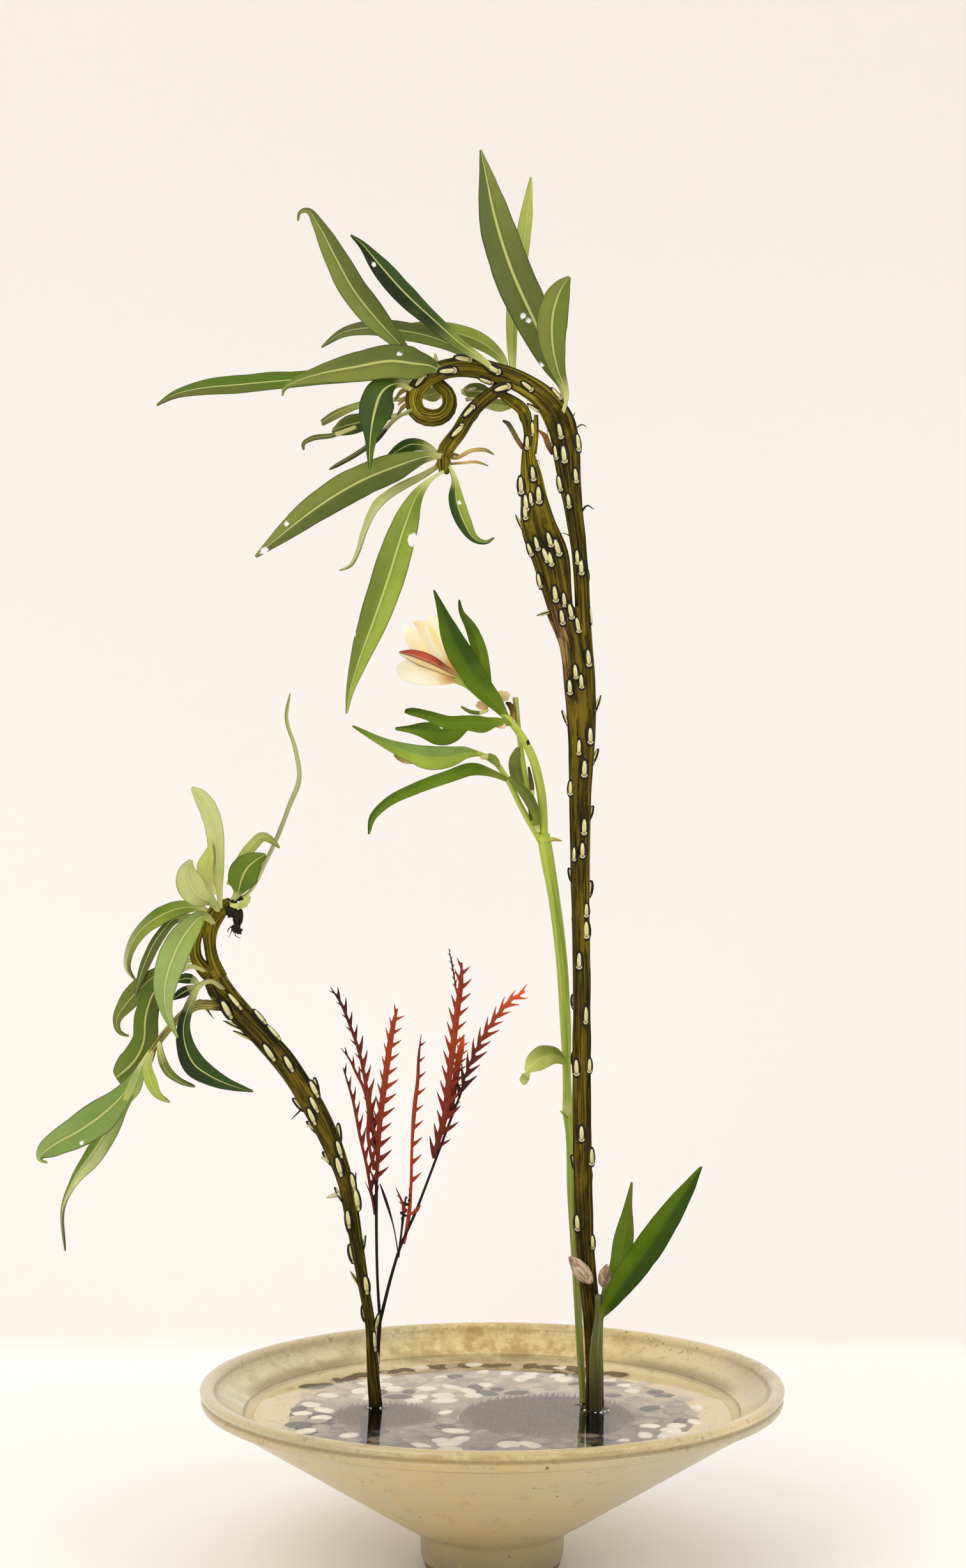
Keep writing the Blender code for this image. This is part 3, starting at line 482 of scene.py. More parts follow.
rings = glaze.noise(glaze.coordinates(Scale=(1, 1, 60)), 9, 3)
pits = glaze.cells(spot, 520).step(0.0, 0.42) * inside * z.step(0.084, 0.092)
height = rings * 0.5 + grain * 0.05 + blotch * 0.2 + pits * 0.3
# The emission is the painted glow of the submerged inner wall.
fit(bowl, glaze.wear(
    Base_Color=skin, Emission_Color=(inside * under).mix(BLACK, tone(255, 232, 178)),
    Roughness=0.22 + 0.3 * blotch + 0.25 * foot_ring + 0.12 * (1 - inside),
    Coat_Weight=(0.35 + 0.45 * inside) * (1 - foot_ring),
    Normal=glaze.bump(height, 0.0009, 0.55)), "bowl")
print("glaze nodes", len(glaze.tree.nodes))

# %% [markdown]
# ## Water
# The water is one closed body. Its sides and floor lie hidden inside the clay and the gravel, so
# light meets only its top. A low eye sees the pale room mirrored in it and the pebbles through
# it. Where a stem pierces the surface, the water climbs a little: those faces are cut finer
# and their points are raised.

# %% Still water with a rim of its own
WATER_FLOOR = 60 * MM
TOP_BAND = 1e-5
SHEET_SIDES = 96
CLIMB_REACH = 1.3
# Each stem's foot as ((x, near), radius)
STEM_FEET = [((53, 2), 5.2), ((47, -6), 2.2), ((53, 11), 3.6), ((-60.3, 0), 3.8), ((-59.6, -7), 1.6)]


def face_outwards():
    """Turn all faces outwards, and leave edit mode."""
    bpy.ops.mesh.select_all(action="SELECT")
    bpy.ops.mesh.normals_make_consistent(inside=False)
    done()


def round_sheet(name, radius, level, rings, ring_width, drop, narrowing):
    """A level disc cut into rings, closed by a narrower underside."""
    sheet = ring(name, radius, SHEET_SIDES, (0, 0, level))
    for _ in range(rings):
        bpy.ops.mesh.inset(thickness=ring_width)
    bpy.ops.mesh.select_all(action="SELECT")
    extrude(0, 0, -drop)
    bpy.ops.transform.resize(value=(narrowing, narrowing, 1), center_override=(0, 0, level))
    face_outwards()
    return sheet


def from_foot(place, foot):
    """How far, in metres, a place is from the middle of a stem's foot."""
    return (place.xy - Vector((foot[0], -foot[1])) * MM).length


water_radius = cone_radius(WATER_LEVEL, WALL) + 0.5 * MM
floor_radius = cone_radius(WATER_FLOOR, WALL) + 0.5 * MM
water = round_sheet("still_water", water_radius, WATER_LEVEL, 14, 8.5 * MM,
                    WATER_LEVEL - WATER_FLOOR, floor_radius / water_radius)
for reach in (16, 9, 7):
    pick(water, lambda face: face.calc_center_median().z > WATER_LEVEL - TOP_BAND and any(
        from_foot(face.calc_center_median(), foot) < (thick + reach) * MM
        for foot, thick in STEM_FEET), "FACE")
    bpy.ops.mesh.subdivide(number_cuts=1)
done()
for v in water.data.vertices:
    if v.co.z > WATER_LEVEL - TOP_BAND:
        away = [max(from_foot(v.co, foot) / MM - thick, 0) for foot, thick in STEM_FEET]
        v.co.z += np.exp(-min(away) / CLIMB_REACH) * MM
bpy.ops.object.shade_smooth()

# %% Clear water
clear_water = Finish("clear_water", Base_Color=(0.93, 0.95, 0.92, 1), Roughness=0.015, IOR=1.333,
                     Transmission_Weight=1.0)
ripple = clear_water.noise(clear_water.coordinates(), 34, 1)
fit(water, clear_water.wear(Normal=clear_water.bump(ripple, 0.0006, 0.25)), "water")
print("water faces", len(water.data.polygons))

# %% [markdown]
# ## River pebbles
# Pebbles are flat ovals worn by a river: each is an icosphere pressed flat and nudged out of
# true. A few shapes are modelled once, and copies are dealt out over the bed in rows that
# shuffle, turned and tilted by chance from a fixed seed. Pale, beige, grey and brown stones are
# joined into one piece each, over a layer of gravel that closes the gaps.

# %% Gravel under the stones
PEBBLE_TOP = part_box("pebble_bed")[1].z
BED = PEBBLE_TOP - 5.5 * MM
# Each pin holder as ((x, near), radius)
HOLDERS = [((28, 0), 45.0), ((-56, 0), 27.0)]
HOLLOW = -9.0


def in_holder(x, near, spare=0.0):
    """Whether a place, in millimetres, is over one of the pin holders."""
    return any(((x - hx) ** 2 + (near - hn) ** 2) ** 0.5 < size + spare for (hx, hn), size in HOLDERS)


gravel = round_sheet("gravel", cone_radius(BED, WALL) - 0.4 * MM, BED, 22, 4.6 * MM, 14 * MM, 0.82)
for v in gravel.data.vertices:
    if v.co.z > BED - TOP_BAND:
        lump = noise.noise(v.co * 260) * 1.4 + noise.noise(v.co * 90) * 1.2
        sunk = HOLLOW if in_holder(v.co.x / MM, -v.co.y / MM, 1.0) else 0.0
        v.co.z += (lump + sunk) * MM
bpy.ops.object.shade_smooth()
print("gravel faces", len(gravel.data.polygons))

# %% Model pebbles
random.seed(41)


def pebble(length, width, height):
    """One river stone at the origin: an icosphere pressed flat, with its own lopsided shape."""
    deselect()
    bpy.ops.mesh.primitive_ico_sphere_add(subdivisions=2, radius=0.5)
    stone = bpy.context.object
    edit_all()
    bpy.ops.transform.resize(value=(length * MM, width * MM, height * MM))
    done()
    lean = Vector((random.uniform(-9, 9), random.uniform(-9, 9), random.uniform(-9, 9)))
    for v in stone.data.vertices:
        v.co *= 1 + 0.22 * noise.noise(v.co * 110 + lean)
    return stone


MODELS = [pebble(14.5, 9.5, 5.2), pebble(13, 10.5, 4.8), pebble(16, 9, 5.6), pebble(11, 8.5, 4.6),
          pebble(13.5, 11.5, 5.0)]
print("model pebbles", len(MODELS))

# %% Deal out the pebbles
STONES = {"pale": [], "beige": [], "grey": [], "brown": []}
USUAL_SHARES = (34, 34, 20, 12)
SHARES_IN_STEM_SHADE = (0, 1, 2, 6)
ROW_PITCH = 9.4
INNER = cone_radius(PEBBLE_TOP, WALL) / MM
STONE_LEVEL = PEBBLE_TOP / MM


def copy_of(master, *changes):
    """A copy with its own mesh, moved, turned or sized by matrices."""
    copy = master.copy()
    copy.data = master.data.copy()
    for change in changes:
        copy.data.transform(change)
    bpy.context.collection.objects.link(copy)
    return copy


def lay(kind, x, near, rise, size, tilt=13.0):
    """Lay a copy of one of the model pebbles at a place, at a height, turned by chance."""
    stone = random.choice(MODELS)
    turn = Matrix.Rotation(random.uniform(0, 2 * pi), 4, "Z")
    tip = Matrix.Rotation(radians(random.gauss(0, tilt)), 4, "Y")
    place = Matrix.Translation(Vector((x, -near, rise)) * MM)
    STONES[kind].append(copy_of(stone, place @ tip @ turn @ Matrix.Scale(size, 4)))


row = -INNER
while row < INNER:
    across = -INNER + random.uniform(0, 8)
    while across < INNER:
        x, near = across + random.uniform(-2.5, 2.5), row + random.uniform(-2.6, 2.6)
        far = (x * x + near * near) ** 0.5
        if far < INNER - 6 and not in_holder(x, near, 4.5):
            # Painted shade: in front of the stems most stones are dark brown ones, and they lie lower.
            by_stem = near > 12 and min(abs(x - 51), abs(x + 60)) < 8
            kind = random.choices(list(STONES), SHARES_IN_STEM_SHADE if by_stem else USUAL_SHARES)[0]
            rise = STONE_LEVEL - 2.6 - random.uniform(0, 3.6) - 1.5 * by_stem
            if far > INNER - 14:
                rise += (far - INNER + 14) * 0.2
            lay(kind, x, near, rise, random.uniform(0.8, 1.12))
        across += random.uniform(10.5, 15)
    row += ROW_PITCH

# %% The stones that break the surface along the back edge
BACK_EDGE = ("brown " * 4 + "brown brown grey brown brown pale brown brown grey brown pale brown "
             "brown brown beige brown brown brown pale brown brown brown brown brown").split()
for i, kind in enumerate(BACK_EDGE):
    x = -95 + 6.1 * i + random.uniform(-1, 1)
    reach = (INNER - 3.2 - random.uniform(0, 3.2)) * (0.985 if abs(x) < 60 else 1)
    rise = STONE_LEVEL + random.uniform(0.4, 1.6) + 1.2 * (kind == "pale")
    lay(kind, x, -(reach ** 2 - x * x) ** 0.5, rise, random.uniform(0.65, 1.15), 6)
for model in MODELS:
    bpy.data.objects.remove(model)
print("pebbles", {kind: len(stones) for kind, stones in STONES.items()})

# %% [markdown]
# Wet stone is dark in its pores and shiny on its skin. Each kind gets two close colours,
# mixed by a noise as wide as a few stones, and fine speckles like those of granite or flint.

# %% Wet stone
def joined(pieces, name):
    """Many small pieces made one."""
    take(pieces[0])
    for piece in pieces:
        piece.select_set(True)
    if len(pieces) > 1:
        bpy.ops.object.join()
    return named(name)


def by_the_stems(x, y):
    """1 on the lead and the gravel in the shade just in front of the stems, else 0."""
    beside = abs(x - 0.0515).step(0.009, 0.006) + abs(x + 0.0605).step(0.007, 0.0045)
    return beside * y.step(0.002, -0.004)


def wet_stone(name, first, second, speckle, stem_shade=False, painted_veil=0.6, painted_glow_from=-0.04):
    """Stone under water: a painted reflection greys it in front, and a painted glow lights it behind."""
    stone = Finish(name, Roughness=0.35, Coat_Weight=0.3, Coat_Roughness=0.1, Emission_Strength=0.38)
    spot = stone.coordinates()
    drift = stone.noise(spot, 130, 2)
    fine = stone.noise(spot, 900, 3, 0.7)
    colour = drift.step(0.38, 0.62).mix(first, second)
    colour = (fine.step(0.55, 0.75) * 0.5).mix(colour, speckle)
    x, y, _ = stone.split(spot)
    # Painted reflection: a grey veil of the room mirrored in the water, towards the viewer.
    colour = (y.step(-0.01, -0.07) * painted_veil).mix(colour, tone(118, 106, 92))
    if stem_shade:
        # Painted shade: near black in front of the stems and in a patch left of the low stem.
        behind = x.step(-0.078, -0.083) * x.step(-0.111, -0.108) * y.step(0.006, 0.002)
        colour = (by_the_stems(x, y) + behind).mix(colour, tone(24, 18, 14))
    # Painted light: the stones glow towards the back, for light the water's surface keeps out.
    glow = y.step(painted_glow_from, painted_glow_from + 0.09).mix(BLACK, colour)
    return stone.wear(Base_Color=colour, Emission_Color=glow, Normal=stone.bump(fine, 0.0002, 0.4))


KINDS = {
    "pale": wet_stone("pale_stone", tone(248, 240, 222), tone(234, 222, 196), tone(196, 176, 142),
                      painted_veil=0.2, painted_glow_from=-0.12),
    "beige": wet_stone("beige_stone", tone(204, 186, 160), tone(182, 166, 142), tone(146, 130, 108)),
    "grey": wet_stone("grey_stone", tone(172, 156, 138), tone(148, 134, 120), tone(104, 92, 80)),
    "brown": wet_stone("brown_stone", tone(62, 40, 22), tone(36, 25, 16), tone(18, 13, 9)),
}
for kind, stones in STONES.items():
    heap = joined(stones, kind + "_pebbles")
    bpy.ops.object.shade_smooth()
    fit(heap, KINDS[kind], "pebble_bed")
fit(gravel, wet_stone("fine_gravel", tone(182, 166, 144), tone(162, 148, 128), tone(126, 112, 94),
                      stem_shade=True), "pebble_bed")
print("kinds of stone", list(KINDS))

# %% [markdown]
# ## Pin holders
# A kenzan is a heavy lead disc set with pins that hold the stems. A bevelled cylinder is the lead.
# One pin is a slender cone, copied over a grid that is turned a little, and left out where a
# stem is pushed down onto the lead.

# %% Lead and pins
LEAD_FOOT = 54.0
LEAD_TOP = 62.0
PIN_TIP = 74.0
PIN_PITCH = 3.4
PIN_SUNK = 0.2
GRID_TURN = Matrix.Rotation(radians(15), 3, "Z")
lead = Finish("lead_and_brass", Roughness=0.5, Metallic=0.3)
grime = lead.noise(lead.coordinates(), 180, 3)
x, y, _ = lead.split(lead.coordinates())
bare = grime.step(0.35, 0.7).mix(tone(136, 106, 80), tone(172, 136, 102))
# Painted shade: the lead is near black just in front of the stems.
LEAD = lead.wear(Base_Color=by_the_stems(x, y).mix(bare, tone(12, 10, 8)))


def lead_disc(middle, size):
    """The lead of a pin holder, with its edges taken off."""
    deselect()
    bpy.ops.mesh.primitive_cylinder_add(vertices=72, radius=size * MM, depth=(LEAD_TOP - LEAD_FOOT) * MM,
                                        location=(middle + Vector((0, 0, (LEAD_FOOT + LEAD_TOP) / 2))) * MM)
    disc = bpy.context.object
    bpy.ops.object.transform_apply(location=True)
    pick(disc, lambda edge: edge.calc_face_angle(0) > 1, "EDGE")
    bpy.ops.mesh.bevel(offset=0.9 * MM, segments=2, affect="EDGES")
    done()
    return disc


for name, ((x, near), size) in zip(("kenzan_right", "kenzan_left"), HOLDERS):
    middle = Vector((x, -near, 0))
    parts = [lead_disc(middle, size)]
    deselect()
    bpy.ops.mesh.primitive_cone_add(vertices=5, radius1=0.75 * MM, radius2=0.1 * MM,
                                    depth=(PIN_TIP - LEAD_TOP + PIN_SUNK) * MM)
    pin = bpy.context.object
    span = range(-int(size / PIN_PITCH), int(size / PIN_PITCH) + 1)
    for i, j in [(i, j) for i in span for j in span]:
        spot = GRID_TURN @ Vector((i + 0.5 * (j % 2), j * 0.87, 0)) * PIN_PITCH + middle
        in_disc = (spot.xy - middle.xy).length < size - 2.5
        by_stem = any((spot.xy - Vector((fx, -fn))).length < thick + 1.2
                      for (fx, fn), thick in STEM_FEET)
        if in_disc and not by_stem:
            spot.z = (LEAD_TOP + PIN_TIP - PIN_SUNK) / 2
            parts.append(copy_of(pin, Matrix.Translation(spot * MM)))
    bpy.data.objects.remove(pin)
    fit(joined(parts, name + "_pins"), LEAD, name)
    print(name, "pins", len(parts) - 1)

# %% [markdown]
# ## Routes
# Everything that grows follows a curve. A route is a short list of points, each as
# (x, height, near, ...): near is how far it stands out towards the viewer, and the last numbers
# are the width there. A soft curve through them gives as many rows as a surface needs.

# %% A soft curve through points
def lengths(rows):
    """How far along its route each row lies, in millimetres."""
    return np.concatenate([[0], np.cumsum(np.linalg.norm(np.diff(rows[:, :3], axis=0), axis=1))])


def smooth(knots, step):
    """Rows every step millimetres along a route. Every column follows a curve through the knots."""
    rows = np.array(knots, float)
    run = lengths(rows)
    slope = np.gradient(rows, run, axis=0)
    spots = np.linspace(0, run[-1], max(3, round(run[-1] / step)) + 1)
    which = np.clip(np.searchsorted(run, spots, "right") - 1, 0, len(run) - 2)
    gap = (run[which + 1] - run[which])[:, None]
    t = (spots - run[which])[:, None] / gap
    return ((1 + 2 * t) * (1 - t) ** 2 * rows[which] + t * (1 - t) ** 2 * gap * slope[which]
            + t * t * (3 - 2 * t) * rows[which + 1] + t * t * (t - 1) * gap * slope[which + 1])


# %% [markdown]
# ## Bending on the bench
# It is easiest to shape a stem or a leaf lying straight along X, as on a bench seen from above,
# and to bend it last. A curve object takes the route, with the viewer's side as up, and a
# Curve modifier carries the straight piece onto it. The curve's radius sets the width and its tilt
# the way a leaf faces. A quarter turn about X then stands the bench up.

# %% Bend a straight piece along its route
def bend(piece, rows, turns=None, widths=None):
    """Bend a piece that lies along X onto a route, and stand it up in its place."""
    curve = bpy.data.curves.new("route", "CURVE")
    curve.dimensions = "3D"
    curve.twist_mode = "Z_UP"
    spline = curve.splines.new("POLY")
    spline.points.add(len(rows) - 1)
    for i, (knot, row) in enumerate(zip(spline.points, rows)):
        knot.co = (*(Vector(row[:3]) * MM), 1)
        knot.tilt = radians(turns[i]) if turns is not None else 0
        knot.radius = max(widths[i], 0.3) * MM if widths is not None else 1
    route = bpy.data.objects.new("route", curve)
    bpy.context.collection.objects.link(route)
    shaped_by(piece, "CURVE", object=route)
    bpy.data.objects.remove(route)
    piece.rotation_euler = (pi / 2, 0, 0)
    bpy.ops.object.transform_apply(rotation=True)
    return piece


# %% [markdown]
# ## Willow stems
# A fasciated stem is a flat ribbon of fused shoots, so it shows as ribs that split and merge.
# On the bench a ring is extruded along X and each new ring sized in width and depth. A noise
# that is stretched along the stem then raises the ribs, and every limb is cut from the same cloth.
# The limbs are joined to the trunk with a Boolean union, so that the stem is one skin.

# %% The routes of the stems
STEM_FOOT = 62.3
# (x, height, near, half width, half depth)
TALL_TRUNK = [
    (53, STEM_FOOT, 2, 4.6, 3.6), (52.8, 80, 2, 4.7, 3.6), (52.5, 100, 2.5, 4.5, 3.5),
    (51, 130, 3.5, 4.5, 3.5), (48, 160, 4.5, 4.5, 3.4), (46.7, 190, 5.5, 4.5, 3.4),
    (45.8, 250, 6.5, 4.7, 3.4), (46, 300, 6.5, 4.5, 3.3), (45.3, 350, 5.5, 4.8, 3.3),
    (45.3, 400, 4, 5.8, 3.3), (46, 430, 3, 7, 3.3), (45.3, 450, 2.5, 7.8, 3.4), (42.5, 478, 2, 9, 3.4),
    (39, 492, 2, 11, 3.2),
]
TALL_LEFT = [
    (38, 478, 2, 5, 3), (34, 498, 2, 7, 3), (29.5, 520, 2, 9.5, 3), (24, 534, 2, 9, 3), (21.5, 548, 2, 7, 3),
    (20, 560, 2, 5.5, 2.8), (18.5, 571, 2, 3.2, 2), (18.5, 584, 2, 2.4, 1.5), (16, 594, 1, 3, 1.4),
    (9, 600, 0, 2.6, 1.3), (3, 604, 0, 1.6, 1.2),
]
TALL_RIGHT = [
    (46.5, 478, 2, 4, 3), (46.3, 500, 2, 3.8, 3), (44.5, 525, 2, 4, 3), (42, 543, 2, 4.5, 3.1),
    (39.5, 561, 2, 5.8, 3.3), (38, 573, 2, 6.8, 3.5), (34.5, 589, 2, 7.4, 3.7), (27, 600, 2, 6.3, 3.8),
    (15, 608.5, 2, 5.5, 3.8), (0, 614, 2, 5.3, 3.7), (-12, 616.5, 2, 5.2, 3.6), (-24, 615.5, 2, 5, 3.6),
    (-33, 611.5, 2, 4.7, 3.6), (-38.5, 606, 1.5, 4.5, 3.6), (-40.5, 599, 1, 4.4, 3.6),
    (-38, 593, 0.5, 4.4, 3.6), (-32, 590.5, 0, 4.4, 3.6), (-25.5, 592, -1, 4.2, 3.4),
    (-22, 597, -2, 3.9, 3.2), (-22.5, 603.5, -3, 3.5, 2.8), (-27, 608, -3.5, 3.3, 2.8),
    (-30, 611, -3.5, 3, 2.6),
]
TALL_SIDE = [
    (9, 608, 3, 3, 2.6), (1, 603, 4, 3.4, 2.6), (-9, 595, 4, 3.7, 2.6), (-17, 583, 4, 3.8, 2.6),
    (-24.5, 572, 4, 3.7, 2.6), (-25, 562, 4, 2.2, 2),
]
TALL_TWIG = [(21, 572, 2, 1.6, 1.5), (22.3, 582, 2, 1.5, 1.4), (22.5, 592, 2, 0.9, 0.9)]
LOW_TRUNK = [
    (-60, STEM_FOOT, 0, 3.6, 3), (-60, 80, 0, 3.5, 2.9), (-61.5, 100, 1, 3, 2.7), (-63, 125, 2.5, 2.5, 2.3),
    (-67, 150, 4, 2.8, 2.4), (-71, 175, 5.5, 3.4, 2.6), (-76, 200, 6, 3.9, 2.8), (-83.5, 220, 6, 5.1, 3),
    (-94, 240, 5, 5.7, 3.1), (-105.8, 258, 4, 5.7, 3.2), (-119, 273, 2.5, 5.9, 3.2),
    (-131.5, 286, 1, 6.2, 3.2), (-140.6, 297, 0, 6.6, 3.2), (-144.4, 306, 0, 5.2, 3),
]
LOW_STUB = [
    (-142, 301, 0, 4.5, 2.8), (-149, 307, 0, 3.6, 2.6), (-152.4, 312, 0, 3.1, 2.4),
    (-153.2, 318, 0, 2.9, 2.2), (-151, 325, 0, 2, 1.8), (-148.5, 329, 0, 1.6, 1.6),
]
LOW_TOP = [
    (-140.5, 302, 0, 4.2, 2.8), (-144, 311, 0, 3.2, 2.5), (-145.5, 320, 0, 3.1, 2.5),
    (-145, 329, 0, 4.3, 2.5), (-141, 336.5, 0, 4.6, 2.5), (-134.5, 341.5, 0, 2.2, 1.6),
]
LOW_SHOOT = [
    (-131, 287, 1, 2.6, 2), (-142, 288, 5, 2.6, 1.9), (-151, 288.4, 6, 2.4, 1.8), (-157.5, 284.5, 6, 2, 1.7),
    (-164, 278.5, 6, 1.7, 1.6), (-171, 270, 5, 1.6, 1.4), (-178, 259.5, 4, 1.3, 1.2),
]


# %% Draw out a ribbed stem
def draw_along(run, widths, depths):
    """Draw a ring of radius 1 out along X, each row with its own width and depth."""
    wide, deep = 1.0, 1.0
    for i, (new_wide, new_deep) in enumerate(zip(widths, depths)):
        if i:
            extrude(run[i] - run[i - 1], 0, 0)
        bpy.ops.transform.resize(value=(1, new_wide / wide, new_deep / deep),
                                 center_override=(run[i], 0, 0))
        wide, deep = new_wide, new_deep
    face_outwards()


def reed(name, knots, sides=44, rib=0.62, ribs=2.6, seed=0.0):
    """A stem: a ring drawn out along X, ribbed, wrapped with a UV map and bent to its route."""
    rows = smooth(knots, 3.2)
    run = lengths(rows) * MM
    stem = ring(name, 1, sides, turn=(pi / 2, 0, pi / 2))
    draw_along(run, [max(row[3], 0.4) * MM for row in rows], [max(row[4], 0.4) * MM for row in rows])
    half_wide = np.interp([v.co.x for v in stem.data.vertices], run, rows[:, 3] * MM)
    half_deep = np.interp([v.co.x for v in stem.data.vertices], run, rows[:, 4] * MM)
    angles = []
    for v, w, d in zip(stem.data.vertices, half_wide, half_deep):
        angle = np.arctan2(v.co.z / d, v.co.y / w)
        angles.append(angle)
        fibre = Vector((cos(angle) * ribs, sin(angle) * ribs, v.co.x * 9 + seed))
        lump = Vector((cos(angle), sin(angle), v.co.x * 60 + seed))
        raised = noise.noise(fibre * 1.6) * rib + noise.noise(lump) * rib * 0.5
        out = Vector((0, v.co.y, v.co.z))
        v.co += out.normalized() * raised * MM
    wrap = stem.data.uv_layers.new(name="grain")
    for face in stem.data.polygons:
        turns = [angles[v] / (2 * pi) for v in face.vertices]
        for corner, v, turn in zip(face.loop_indices, face.vertices, turns):
            if max(turns) - min(turns) > 0.5 and turn < 0:
                turn += 1
            wrap.data[corner].uv = (turn, stem.data.vertices[v].co.x / 0.1)
    return bend(stem, rows)


def grown_together(name, limbs, **options):
    """A trunk and its limbs as one skin."""
    trunk, *others = [reed(f"{name}_{i}", limb, seed=7.0 * i, **options)
                      for i, limb in enumerate(limbs)]
    for other in others:
        shaped_by(trunk, "BOOLEAN", operation="UNION", solver="MANIFOLD", object=other)
        bpy.data.objects.remove(other)
    bpy.ops.object.shade_smooth()
    return named(name)


tall_stem = grown_together("tall_willow_stem", [TALL_TRUNK, TALL_LEFT, TALL_RIGHT, TALL_SIDE, TALL_TWIG])
low_stem = grown_together("low_willow_stem", [LOW_TRUNK, LOW_STUB, LOW_TOP, LOW_SHOOT])
print("stems", len(tall_stem.data.polygons), len(low_stem.data.polygons))

# %% [markdown]
# ## Bark
# Young willow bark is smooth and dark olive-brown, with fine cracks along the ribs, and it is
# greener and yellower where the stem is youngest. The UV map wraps each limb, so the streaks follow
# every bend. The forked top and the coil are picked out by where they are.

# %% The grain of the bark
def streak(finish, around, along, detail=4.0):
    """A noise drawn out along the stem, from the piece's own wrap."""
    wrap = finish.node("ShaderNodeUVMap", {"uv_map": "grain"})
    stretched = finish.node("ShaderNodeMapping", {}, {"Vector": wrap, "Scale": (around, along, 1)})
    return finish.noise(stretched, 1.0, detail, 0.6)


bark = Finish("willow_bark", Roughness=0.55, Specular_IOR_Level=0.1)
x, y, z = bark.split(bark.coordinates())
broad = streak(bark, 6, 1.5)
fine = streak(bark, 30, 3.0, 5)
blotch = bark.noise(bark.coordinates(), 75, 3)
furrow = abs(streak(bark, 9, 0.9, 2) - 0.5).step(0.042, 0.008) * blotch.step(0.35, 0.5)
crack = streak(bark, 16, 5, 3).step(0.58, 0.63)
wet_and_shaded = z.step(0.1, 0.083)

# %% Old, green and yellow bark
old = (broad * 0.6 + fine * 0.4).step(0.4, 0.6).mix(tone(40, 32, 4), tone(116, 98, 18))
green = (broad * 0.5 + fine * 0.5).step(0.4, 0.6).mix(tone(64, 57, 6), tone(122, 110, 22))
yellow = (broad * 0.5 + fine * 0.5).step(0.38, 0.6).mix(tone(104, 86, 4), tone(182, 168, 44))
arch = (z + 0.02 * blotch).step(0.6, 0.616) * x.step(0.03, -0.02) * 0.8
arch = arch + z.step(0.315, 0.35) * x.step(-0.13, -0.136) * 0.9
branch = z.step(0.525, 0.56) * x.step(0.036, 0.02) * z.step(0.615, 0.6) * x.step(0.002, 0.01)
shoot = z.step(0.2935, 0.2905) * x.step(-0.1405, -0.146)
coil = x.step(-0.012, -0.02) * x.step(-0.05, -0.045) * z.step(0.612, 0.604) * z.step(0.545, 0.556)
crown = x.step(-0.128, -0.134) * z.step(0.296, 0.312)
skin = arch.mix(old, green)
skin = ((coil + crown) * (broad * 0.8 + 0.15)).mix(skin, yellow)
skin = (branch * (broad * 0.8 + 0.5)).mix(skin, yellow)
skin = (shoot * (broad * 0.6 + 0.6)).mix(skin, tone(196, 186, 104))

# %% Scar, furrows and the wet, shaded foot
skin = (streak(bark, 5, 0.6, 2).step(0.54, 0.64) * 0.5).mix(skin, tone(140, 120, 40))
scar = x.step(0.0405, 0.0375) * z.step(0.39, 0.41) * z.step(0.5, 0.485) * x.step(0.024, 0.027)
rough_scar = (fine * 0.6 + blotch * 0.4).step(0.44, 0.56).mix(tone(90, 56, 36), tone(178, 140, 92))
skin = (scar * 0.7).mix(skin, rough_scar)
skin = (furrow * 0.75).mix(skin, tone(34, 25, 8))
skin = (fine.step(0.36, 0.28) * 0.8).mix(skin, tone(34, 26, 8))
skin = (crack * 0.7).mix(skin, tone(36, 24, 8))
# Near the water the bark is wet and glossier. Its darkening there is partly wetness and partly painted shade,
# and under the water it is painted near black as shade.
skin = (wet_and_shaded * 0.7).mix(skin, tone(26, 20, 10))
skin = z.step(0.083, 0.0805).mix(skin, tone(3, 2, 1))
relief = fine * 0.5 + broad * 0.3 - furrow * 0.5 - crack * 0.5
BARK = bark.wear(Base_Color=skin, Roughness=0.62 - 0.3 * wet_and_shaded, Normal=bark.bump(relief, 0.0016, 0.85))
fit(tall_stem, BARK, "willow_tall_stem")
fit(low_stem, BARK, "willow_low_stem")
print("bark nodes", len(bark.tree.nodes))

# %% [markdown]
# ## Leaves
# A willow leaf is a thin blade on a short stalk, with a raised pale midrib. One flat blank is
# cut from a grid and its middle columns are drawn together for the midrib. Each leaf is a copy:
# it gets its fold and its wavy edge while flat, then its route, and last its thickness, which is
# greatest along the midrib and the stalk. Its colours are painted on its points, left and right.

# %% The blank
LEAF_ROWS = 44
LEAF_COLUMNS = 10
deselect()
bpy.ops.mesh.primitive_grid_add(x_subdivisions=LEAF_ROWS, y_subdivisions=LEAF_COLUMNS, size=1,
                                location=(0.5, 0, 0))
blank = named("leaf_blank")
bpy.ops.object.transform_apply(location=True)
for low, high, squeeze in ((0.05, 0.15, 0.4), (0.15, 0.25, 0.8)):
    pick(blank, lambda v: low < abs(v.co.y) < high)
    bpy.ops.transform.resize(value=(1, squeeze, 1), center_override=(0.5, 0, 0))
done()
print("blank", len(blank.data.vertices), "points")

